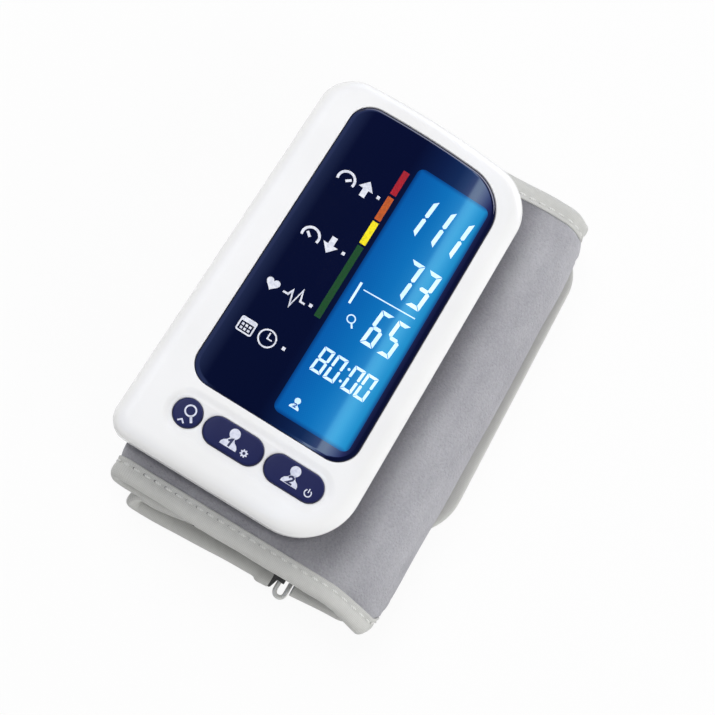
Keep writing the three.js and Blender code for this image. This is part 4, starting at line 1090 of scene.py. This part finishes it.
def build_bladder():
    """Welded film bag, pressed flat under the clamp plate."""
    stops = cuff_walk(trim=BLADDER_TRIM)
    x, z, _, _, s = stops.T[:, :, None]
    y = np.linspace(-BLADDER_HALF, BLADDER_HALF, 41)[None, :]
    rim = np.minimum(np.minimum(s, s[-1] - s), BLADDER_HALF - np.abs(y))
    half = BLADDER_FILM + BLADDER_RISE * np.sqrt(1 - (1 - np.clip(rim / 5.0, 0, 1)) ** 2)
    low, high = span("clamp_plate")
    beside_x = np.maximum(low.x - MIDDLE[0] - x, x - high.x + MIDDLE[0])
    beside_y = np.maximum(low.y - MIDDLE[1] - y, y - high.y + MIDDLE[1])
    pressed = (1 - ease(np.maximum(beside_x, beside_y) / 4.0 - 0.2)) * (z > ON_TOP)
    upper = half * (1 - pressed) - BLADDER_PRESSED * pressed
    made = cloth_sheet("air_bag", wrapped(stops, y, upper), wrapped(stops, y, -half), s, y, bladder_film)
    dress(made, "monitor", "bladder_film", "air_bladder")


build_bladder()

STITCH_PITCH = 3.35
STITCH_INSET = 4.5
TAB_FLARE = 0.9
TAB_END = (3.6, 1.6)
# Half of the tape's section: in from its edge, and out from its middle
TAPE_PROFILE = [
    (6.0, 1.28), (6.02, 1.58), (5.8, 1.8), (5.4, 1.8), (5.0, 1.7), (4.5, 1.62), (4.0, 1.7), (3.4, 1.88),
    (2.7, 2.0), (2.0, 2.0), (1.3, 1.86), (0.75, 1.52), (0.35, 1.06), (0.1, 0.6), (0.0, 0.2),
]
TAPE_INSIDE = [(0.85, -1.24), (0.85, 1.24)]


def swept_tape(name, points, section, u, v):
    """Tape of one section all along, from points in stations by corners by 3, closed at both ends."""
    index = numbered(*points.shape[:2])
    fan = [list(corner) for corner in tessellate_polygon([[Vector((*corner, 0)) for corner in section]])]
    faces = quads(closed(index).T) + fan + [index[-1][corner[::-1]].tolist() for corner in fan]
    mesh = solid(name, points, faces)
    weave_map(mesh, u, v)
    return settle(name, mesh, edge_tape, 60)


def build_tape(name, side, node):
    """Folded edge tape, nipped at each stitch and a little slack in between."""
    stops = cuff_walk(pitch=TAPE_STEP)
    s = stops[:, 4:]
    section = TAPE_PROFILE + [(d, -n) for d, n in reversed(TAPE_PROFILE)] + TAPE_INSIDE
    d, n = np.array(section).T[:, None, :]
    nip = np.exp(-(((d - STITCH_INSET) / 0.9) ** 2)) * (0.5 + 0.5 * np.cos(2 * math.pi * s / STITCH_PITCH))
    outside = np.array([1.0] * (2 * len(TAPE_PROFILE)) + [0.0] * len(TAPE_INSIDE))[None, :]
    n = n - np.sign(n) * outside * (0.2 * nip)
    loose = np.clip(1 - d / 4.5, 0, 1)
    n = n + outside * loose * 0.14 * wobble(s / 6.0, d * 0, 2.2 + side)
    tab = TAB_FLARE * (1 - ease((s - TAB_END[0]) / TAB_END[1])) * (side < 0)
    y = side * (CUFF_HALF + tab - d + loose * 0.22 * wobble(s / 8.0, d * 0, 5.0 + side))
    made = swept_tape(name, wrapped(stops, y, n), section, s, d * np.sign(n))
    dress(made, "monitor", "edge_tape", node)


build_tape("near_edge_tape", -1, "near_edge_binding")
build_tape("far_edge_tape", 1, "far_edge_binding")


# Closing ring, its keeper, and the strap that threads it

KEEPER_BAR = 30.25
KEEPER_LAP = 5.0
STRAP_BAR = 33.55
BAR_HEIGHT = 1.75
STRAP_BEND = 1.25
STRAP_HALF = 0.25
SEAM_GAP = 0.3
STRIP_PITCH = 0.9
RING_WIRE = 0.7
RING_SIDES = 14
RING_SQUARE = 0.7
KEEPER_NEAR = 70.3
KEEPER_NOTCH = 2.9
KEEPER_FAR = 66.0
TAIL_WIDTH = 111.0
TAIL_MIDDLE = 15.0
TAIL_ROOT = 40.55
TAIL_TRIM = 0.05
TAIL_NEAR = 20.0
TAIL_FAR = 14.0
TAIL_SKEW = 1.4
TAIL_RIM = 1.3
HOOK_INSET = 5.3
HOOK_ROOT = 2.0
HOOK_EDGE = 0.5


def build_ring():
    """Long narrow moulded ring with full round ends and a rounded wire."""
    low, high = span("closing_ring")
    middle_x = (low.x + high.x) / 2
    reach = (high.x - low.x) / 2 - RING_WIRE
    line = outline(
        middle_x - reach, middle_x + reach, low.y + RING_WIRE, high.y - RING_WIRE, (reach - 0.01,) * 4, 0, 12,
    )
    points = []
    for i, (x, y) in enumerate(line):
        ahead = Vector(line[(i + 1) % len(line)]) - Vector(line[i - 1])
        out = Vector((ahead.y, -ahead.x)).normalized()
        for j in range(RING_SIDES):
            turn = 2 * math.pi * j / RING_SIDES
            flat, rise = (
                math.copysign(abs(way) ** RING_SQUARE, way) * RING_WIRE for way in (math.cos(turn), math.sin(turn))
            )
            points.append((x + out.x * flat, y + out.y * flat, BAR_HEIGHT + rise))
    faces = quads(np.pad(numbered(len(line), RING_SIDES), (0, 1), mode="wrap"))
    made = settle("ring_bar", solid("ring_bar", points, faces), ring_grey, 60)
    dress(made, "monitor", "ring_plastic", "closing_ring")


build_ring()


def build_keeper():
    """Strip folded round the ring's bar and sewn over the end of the wrap."""
    start = UNDER_END + SEAM_GAP - KEEPER_LAP
    leaf = KEEPER_BAR - start
    stops = walk(start, BAR_HEIGHT - STRAP_BEND, 0, [(leaf,), (STRAP_BEND, 180), (leaf,)], STRIP_PITCH)
    x, z, nx, nz, s = stops.T[:, :, None]
    near = KEEPER_NEAR - KEEPER_NOTCH * ease((x - KEEPER_BAR + 1.9) / 1.0)
    y = -near + np.linspace(0, 1, 61)[None, :] * (near + KEEPER_FAR)
    wave = 0.1 * wobble(s / 4.0, y / 9.0, 0.7)
    shift = creep(np.full_like(x, KEEPER_BAR), np.full_like(z, UNDER_LAYER)) + 0.4 * wobble(s / 5.0, y * 0, 3.3)
    faces = [
        to_frame(x + nx * offset, y + shift, np.maximum(z + nz * offset + wave * 0.5, lowest))
        for offset, lowest in ((STRAP_HALF, 0.06), (-STRAP_HALF, 0.04))
    ]
    # Its dark colour is painted shade of the hollow round the ring
    made = cloth_sheet("keeper_strip", *faces, s, y, keeper_painted_shade)
    dress(made, "monitor", "edge_tape", "ring_keeper")


build_keeper()


def tail_half(x, inset, corner):
    """Reach of the tongue to one side at a column, with its round corner."""
    radius = corner - inset
    past = np.clip(x - (TAIL_TIP - inset - radius), 0, radius)
    return TAIL_WIDTH / 2 - inset - radius + np.sqrt(np.maximum(radius**2 - past**2, 0))


def skewed(x, y):
    """Column of a point once the tongue's tip leans out at its near side."""
    outward = np.clip((x - TAIL_ROOT) / (TAIL_TIP - TAIL_ROOT), 0, None)
    return x + TAIL_SKEW * outward * 2 * (TAIL_MIDDLE - y) / TAIL_WIDTH


def tail_points(x, y, z):
    """Points of the tongue in the frame, from housing-centred ones."""
    x, y, z = np.broadcast_arrays(x, y, z)
    return np.stack([skewed(x, y) + MIDDLE[0], y + MIDDLE[1], z], axis=-1)


def build_strap():
    """One strip from the end of the wrap, round the ring's bar, and out as a round-cornered tongue."""
    start = OVER_END - SEAM_GAP
    stops = walk(start, BAR_HEIGHT + STRAP_BEND, 180, [
        (start - STRAP_BAR,), (STRAP_BEND, 180), (TAIL_TIP - TAIL_RIM - STRAP_BAR - TAIL_TRIM,),
    ], STRIP_PITCH)
    x, z, nx, nz, s = stops.T[:, :, None]
    lower = s > start - STRAP_BAR + STRAP_BEND * math.pi
    near, far = (
        np.where(lower, tail_half(x, TAIL_RIM, corner), TAIL_WIDTH / 2 - TAIL_RIM) for corner in (TAIL_NEAR, TAIL_FAR)
    )
    drift = creep(np.minimum(x, TAIL_ROOT), z) - creep(TAIL_ROOT, 0.0)
    y = TAIL_MIDDLE - near + np.linspace(0, 1, 57)[None, :] * (near + far) + drift
    faces = [tail_points(x + nx * offset, y, z + nz * offset) for offset in (STRAP_HALF, -STRAP_HALF)]
    made = cloth_sheet("closing_strap", *faces, s, y, strap_cloth)
    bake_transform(made)
    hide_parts("strap_fold", "tail_cloth")


build_strap()


def tail_line(inset):
    """Open line round the tongue's free sides, from its near root to its far root."""
    half = TAIL_WIDTH / 2 - inset
    near, far = TAIL_NEAR - inset, TAIL_FAR - inset
    tip = TAIL_TIP - inset
    low, high = TAIL_MIDDLE - half, TAIL_MIDDLE + half
    turns = quarter(18)
    line = [(x, low) for x in np.linspace(TAIL_ROOT, tip - near, 6)[:-1]]
    line += bend(tip - near, low + near, near, [turn - math.pi / 2 for turn in turns])
    line += [(tip, y) for y in np.linspace(low + near, high - far, 50)[1:-1]]
    line += bend(tip - far, high - far, far, turns)
    line += [(x, high) for x in np.linspace(tip - far, TAIL_ROOT, 6)[1:]]
    return np.array(line)


# The rim tape's section: in from the tongue's edge, and up from the floor
RIM_SECTION = [
    (0.0, 0.95), (0.06, 0.45), (0.3, 0.14), (0.8, 0.05), (0.92, 0.3), (0.95, 1.2), (4.75, 1.2), (4.92, 1.5),
    (4.8, 1.95), (4.3, 2.2), (3.4, 2.24), (2.4, 2.26), (1.4, 2.2), (0.7, 2.0), (0.2, 1.6),
]


def build_rim():
    """Tape turned over the tongue's edge and lapped onto its inner face."""
    d, z = np.array(RIM_SECTION).T
    x, y = np.stack([tail_line(inset) for inset in d], axis=1).transpose(2, 0, 1)
    points = tail_points(x, y, z)
    along = np.cumsum(np.linalg.norm(np.diff(points[:, 0], axis=0, prepend=points[:1, 0]), axis=1))
    made = swept_tape("tongue_rim", points, RIM_SECTION, along[:, None], d)
    dress(made, "cuff_tail", "edge_tape", "tail_rim_tape")


build_rim()


def build_hook():
    """Hook patch with softened edges on the tongue's inner face."""
    low, high = span("tail_hook_patch")
    half = TAIL_WIDTH / 2 - HOOK_INSET
    radii = (TAIL_FAR - HOOK_INSET, 1.0, 1.0, TAIL_NEAR - HOOK_INSET)

    def line(inset):
        plain = outline(
            TAIL_ROOT + HOOK_ROOT, TAIL_TIP - HOOK_INSET, TAIL_MIDDLE - half, TAIL_MIDDLE + half, radii, inset, 14,
        )
        return [(skewed(x, y) + MIDDLE[0], y + MIDDLE[1]) for x, y in plain]

    rings = [(line(0.1), low.z), *soft_edge(line, HOOK_EDGE, HOOK_EDGE, high.z, 4), (line(HOOK_EDGE + GUARD), high.z)]
    dress(stacked("hook_patch", rings, hook_grey, 35), "cuff_tail", "hook_tape", "tail_hook_patch")


build_hook()


# Stitches

STITCH_SEAT = 1.66
STITCH_END = 1.5
RIM_STITCH_INSET = 3.9
RIM_STITCH_SEAT = 2.19


def stitch_tree():
    """Rows of stitches along lines: one small spindle at each step, its long side along the line."""
    tree = bpy.data.node_groups.new("stitch_row", "GeometryNodeTree")
    for name, way, kind in (
        ("Lines", "INPUT", "Geometry"), ("Pitch", "INPUT", "Float"), ("Size", "INPUT", "Vector"),
        ("Thread", "INPUT", "Material"), ("Stitches", "OUTPUT", "Geometry"),
    ):
        tree.interface.new_socket(name, in_out=way, socket_type="NodeSocket" + kind)
    add = Nodes(tree).node
    given = tree.nodes.new("NodeGroupInput").outputs
    curve = add("GeometryNodeMeshToCurve", {}, {"Mesh": given["Lines"]})
    steps = add("GeometryNodeCurveToPoints", {"mode": "LENGTH"}, {"Curve": curve, "Length": given["Pitch"]})
    lift = add("GeometryNodeInputNamedAttribute", {"data_type": "FLOAT_VECTOR"}, {"Name": "lift"})
    along = add("FunctionNodeAlignRotationToVector", {"axis": "X"}, {"Vector": steps.out("Tangent")})
    upright = add(
        "FunctionNodeAlignRotationToVector", {"axis": "Z", "pivot_axis": "X"}, {"Rotation": along, "Vector": lift},
    )
    ball = add("GeometryNodeMeshUVSphere", {}, {"Segments": 8, "Rings": 6, "Radius": 0.5})
    spindle = add("GeometryNodeTransform", {}, {"Geometry": ball, "Scale": given["Size"]})
    placed = add("GeometryNodeInstanceOnPoints", {}, {"Points": steps, "Instance": spindle, "Rotation": upright})
    real = add("GeometryNodeRealizeInstances", {}, {"Geometry": placed})
    rounded = add("GeometryNodeSetShadeSmooth", {}, {"Geometry": real})
    dressed = add("GeometryNodeSetMaterial", {}, {"Geometry": rounded, "Material": given["Thread"]})
    add("NodeGroupOutput", {}, {"Stitches": dressed})
    return tree


STITCH_TREE = stitch_tree()


def stitch(name, lines, size, thread, body):
    """Sews along lines, each a row of points and the way up at each."""
    points, edges, lifts = [], [], []
    for line, up in lines:
        edges += [(i, i + 1) for i in range(len(points), len(points) + len(line) - 1)]
        points += (line * MM).tolist()
        lifts += up.tolist()
    mesh = bpy.data.meshes.new(name)
    mesh.from_pydata(points, edges, [])
    lift = mesh.attributes.new("lift", "FLOAT_VECTOR", "POINT")
    lift.data.foreach_set("vector", np.array(lifts, np.float32).ravel())
    guide = linked(name + "_guide", mesh)
    modifier = guide.modifiers.new("stitch_row", "NODES")
    modifier.node_group = STITCH_TREE
    values = {"Pitch": STITCH_PITCH * MM, "Size": [side * MM for side in size], "Thread": thread}
    for socket in STITCH_TREE.interface.items_tree:
        if socket.name in values:
            modifier[socket.identifier] = values[socket.name]
    sewn = bpy.data.meshes.new_from_object(guide.evaluated_get(bpy.context.evaluated_depsgraph_get()))
    sewn.name = name
    bpy.data.objects.remove(guide)
    dress(linked(name, sewn), body, "edge_tape")


def tape_lines(side, start, sink):
    """Stitch lines on both faces of an edge tape."""
    stops = cuff_walk(pitch=TAPE_STEP)
    kept = stops[(stops[:, 4] > start) & (stops[:, 4] < stops[-1, 4] - STITCH_END)]
    out = np.stack([kept[:, 2], 0 * kept[:, 2], kept[:, 3]], axis=-1)
    return [
        (wrapped(kept, side * (CUFF_HALF - STITCH_INSET), facing * (STITCH_SEAT - sink))[:, 0], out * facing)
        for facing in (1, -1)
    ]


def rim_lines():
    """Stitch line on the tongue's rim."""
    x, y = tail_line(RIM_STITCH_INSET)[4:-4].T
    return [(tail_points(x, y, RIM_STITCH_SEAT), np.tile([0, 0, 1], (len(x), 1)))]


for side, word in ((-1, "near"), (1, "far")):
    for kind, start, sink, size, thread in (
        ("tape_stitches", STITCH_PITCH / 2, 0.02, (2.4, 0.7, 0.4), thread_pale),
        # the dark needle holes are painted shade
        ("needle_holes", STITCH_PITCH, 0.16, (0.85, 0.7, 0.3), needle_hole_shade),
    ):
        stitch(f"{word}_{kind}", tape_lines(side, start, sink), size, thread, "monitor")
stitch("tongue_stitches", rim_lines(), (2.3, 0.5, 0.4), thread_pale, "cuff_tail")


# Other solids: the moulded base and door get eased edges, the rest their finishes

BAY_WALL_END = 60.25
BAY_WALL_SIDES = (7.6, 8.8)
EDGE_TOP = 28.0
TOUCH = 0.02
EASED = 0.15


def flush_bay_wall(bm):
    """Draws the end of the battery bay's wall in to the rounded corner that it runs out of."""
    points = {vert: vert.co / MM for vert in bm.verts}
    for side in BAY_WALL_SIDES:
        beside = {vert: p for vert, p in points.items() if abs(p.x - side) < TOUCH}
        proud = {vert: p for vert, p in beside.items() if abs(p.y - BAY_WALL_END) < TOUCH}
        for vert, point in proud.items():
            if side == BAY_WALL_SIDES[0]:
                flush = max(proud.values(), key=lambda p: p.z)
            else:
                level = max(point.z, EDGE_TOP)
                row = [p for p in beside.values() if abs(p.z - level) < TOUCH and p.y < BAY_WALL_END - TOUCH]
                flush = max(row, key=lambda p: p.y)
            vert.co = flush * MM
    bmesh.ops.remove_doubles(bm, verts=bm.verts, dist=2e-6)
    bmesh.ops.dissolve_degenerate(bm, edges=bm.edges, dist=1e-7)


def eased(name, node, body, mend=None):
    """A merged copy of a solid with its sharp edges eased."""
    mesh = nodes[node].data.copy()
    mesh.name = name
    bm = bmesh.new()
    bm.from_mesh(mesh)
    bmesh.ops.remove_doubles(bm, verts=bm.verts, dist=1e-6)
    if mend:
        mend(bm)
    bmesh.ops.dissolve_limit(bm, angle_limit=math.radians(1), verts=bm.verts, edges=bm.edges)
    bm.to_mesh(mesh)
    bm.free()
    mesh.materials.clear()
    made = settle(name, mesh, base_white, 40, turn=False)
    bevel = made.modifiers.new("eased_edges", "BEVEL")
    bevel.width = EASED * MM
    bevel.segments = 2
    bevel.limit_method = "ANGLE"
    bevel.angle_limit = math.radians(50)
    bevel.harden_normals = True
    dress(made, body, "base_white", node)


eased("base_shell", "lower_shell", "monitor", flush_bay_wall)
eased("cell_door", "battery_door", "door")

cell_low, cell_high = span("cell_1")
# The first row that has a word in a solid's name gives its finish
CARRIED = (
    (milky_guide, "lcd_blue", ("lcd_glass",)),
    (milky_guide, "diffuser", ("backlight_guide",)),
    (base_white, "base_white", ("lcd_holder", "clamp_plate")),
    (board_green, "board_green", ("circuit_board",)),
    (brass, "brass", ("pump_crank", "valve_plunger")),
    (steel, "steel", ("pump_motor", "_contact_strip", "contact_spring_", "_screw_")),
    (silicone, "silicone", ("nozzle_seal", "_hose")),
    (cell_jacket(cell_low.y, cell_high.y), "cell_jacket", ("cell_",)),
    (black_plastic, "black_plastic", (
        "_switch", "_plunger", "controller_chip", "pressure_sensor", "buzzer", "pump_head", "valve_body", "air_tee",
        "air_nozzle",
    )),
)
for name, node in nodes.items():
    for material, slot, words in CARRIED:
        if any(word in name for word in words):
            node.data.materials.clear()
            node.data.materials.append(material)
            break


# Floor, light and camera

WORLD_LEVEL = 0.35
FLOOR_GLOW = 0.92
FLOOR_DROP = 0.0002
FLOOR_HALF = 9
CARD_LEVEL = 7.2
FLAG_HEIGHT = 320


def build_floor():
    """White sweep that mostly shows as its own light, and takes a faint shadow."""
    mesh = bpy.data.meshes.new("studio_floor")
    corners = ((-1, -1), (1, -1), (1, 1), (-1, 1))
    mesh.from_pydata([(x * FLOOR_HALF, y * FLOOR_HALF, 0) for x, y in corners], [], [(0, 1, 2, 3)])
    floor = linked("studio_floor", mesh)
    floor.location.z = -FLOOR_DROP
    f = Finish("studio_floor", Roughness=0.9, Specular_IOR_Level=0.1)
    f.set("Base Color", f.mix(f.noise(4, 2), (0.86, 0.86, 0.86), (0.88, 0.88, 0.88)))
    glow = f.node("ShaderNodeEmission", {}, {"Color": (1, 1, 1), "Strength": 1.0})
    both = f.node("ShaderNodeMixShader", {}, {0: f.seen() * FLOOR_GLOW, 1: f.shader.outputs[0], 2: glow})
    output = next(n for n in f.tree.nodes if n.type == "OUTPUT_MATERIAL")
    f.feed(output, "Surface", both)
    mesh.materials.append(f.material)


def build_world():
    """White to the camera and in reflections, dimmer as a light."""
    scene.world = bpy.data.worlds.new("studio")
    scene.world.use_nodes = True
    w = Nodes(scene.world.node_tree)
    strength = w.node("ShaderNodeMapRange", {}, {"Value": w.seen(), "To Min": WORLD_LEVEL, "To Max": 1.0})
    sky = w.node("ShaderNodeBackground", {}, {"Color": (1, 1, 1), "Strength": strength})
    w.node("ShaderNodeOutputWorld", {}, {"Surface": sky})


def softbox(name, place, aim, size, power, shines):
    """Lamp that the camera doesn't see, and that reflections see if it shines."""
    lamp = bpy.data.lights.new(name, "AREA")
    lamp.shape = "RECTANGLE"
    lamp.size, lamp.size_y = size
    lamp.energy = power
    made = linked(name, lamp)
    made.location = place
    made.rotation_euler = (Vector(aim) - Vector(place)).to_track_quat("-Z", "Y").to_euler()
    made.visible_glossy = shines
    made.visible_camera = False


def card(name, corners, bands):
    """A studio card that only reflections see, its light changing across it from band to band."""
    mesh = solid(name, [window_centre + Vector(corner) for corner in corners], [(0, 1, 2, 3)])
    made = linked(name, mesh)
    f = Finish(name, Base_Color=(0, 0, 0), Specular_IOR_Level=0.0, Emission_Strength=CARD_LEVEL)
    x, _, _ = f.axes(f.spot)
    first, last = bands[0][0], bands[-1][0]
    stops = [((column - first) / (last - first), tuple(c / CARD_LEVEL for c in light)) for column, light in bands]
    f.set("Emission Color", f.ramp("LINEAR", stops, (x / MM - window_centre.x - first) / (last - first)))
    mesh.materials.append(f.material)
    made.visible_camera = False
    made.visible_diffuse = False
    made.visible_shadow = False
    made.visible_transmission = False


build_floor()
build_world()
softbox("key_softbox", (-0.45, 0.3, 0.95), (0, 0, 0.02), (0.7, 0.7), 6.7, True)
softbox("fill_softbox", (0.87, -0.35, 0.66), (0, 0, 0.02), (0.8, 0.8), 3.8, False)
softbox("side_softbox", (0.8, 0.1, 0.12), (0.04, 0, 0.02), (0.6, 0.2), 1.7, False)

card("window_flag", [
    (-700, -700, FLAG_HEIGHT), (700, -700, FLAG_HEIGHT), (700, 520, FLAG_HEIGHT), (-700, 520, FLAG_HEIGHT),
], [
    (-60, (0.5, 0.7, 1.6)), (-42, (0.3, 0.45, 1.0)), (-34, (0.02, 0.03, 0.06)), (0, (0.01, 0.02, 0.06)),
    (17, (0.06, 0.24, 0.95)), (27, (0.13, 0.5, 1.65)), (33, (0.45, 1.05, 2.7)), (37.4, (0.9, 1.45, 3.4)),
    (38.6, (3.4, 4.7, 7.0)), (42, (3.7, 5.0, 7.2)), (45, (2.6, 3.5, 6.0)), (48.5, (1.2, 1.8, 4.0)),
    (51.5, (0.5, 0.6, 2.1)), (55, (0.16, 0.18, 0.6)), (62, (0.05, 0.06, 0.16)), (80, (0.05, 0.06, 0.16)),
])
card("far_strip", [(-300, 560, -40), (600, 560, -40), (600, 560, 420), (-300, 560, 420)], [
    (-300, (1.6, 1.8, 2.6)), (-40, (3.6, 3.8, 4.8)), (150, (5.6, 5.7, 7.0)), (600, (5.6, 5.7, 7.0)),
])

# The photo's camera, fitted to the window's corners: focal length in pixels of a square photo
FOCAL = 1150
PHOTO_SIDE = 715
SENSOR = 36
CAMERA_PLACE = Vector((-6.49, -97.47, 299.42))
CAMERA_RIGHT = Vector((0.8459, 0.5006, 0.184))
CAMERA_FORWARD = Vector((0.0585, 0.2557, -0.965))

lens = bpy.data.cameras.new("photo_camera")
lens.sensor_width = SENSOR
lens.lens = FOCAL / PHOTO_SIDE * SENSOR
lens.clip_start = 0.01
scene.camera = linked("photo_camera", lens)
right = CAMERA_RIGHT.normalized()
forward = (CAMERA_FORWARD - right * CAMERA_FORWARD.dot(right)).normalized()
turned = Matrix((right, right.cross(forward), -forward)).transposed().to_quaternion()
scene.camera.matrix_world = Matrix.LocRotScale((window_centre + CAMERA_PLACE) * MM, turned, None)
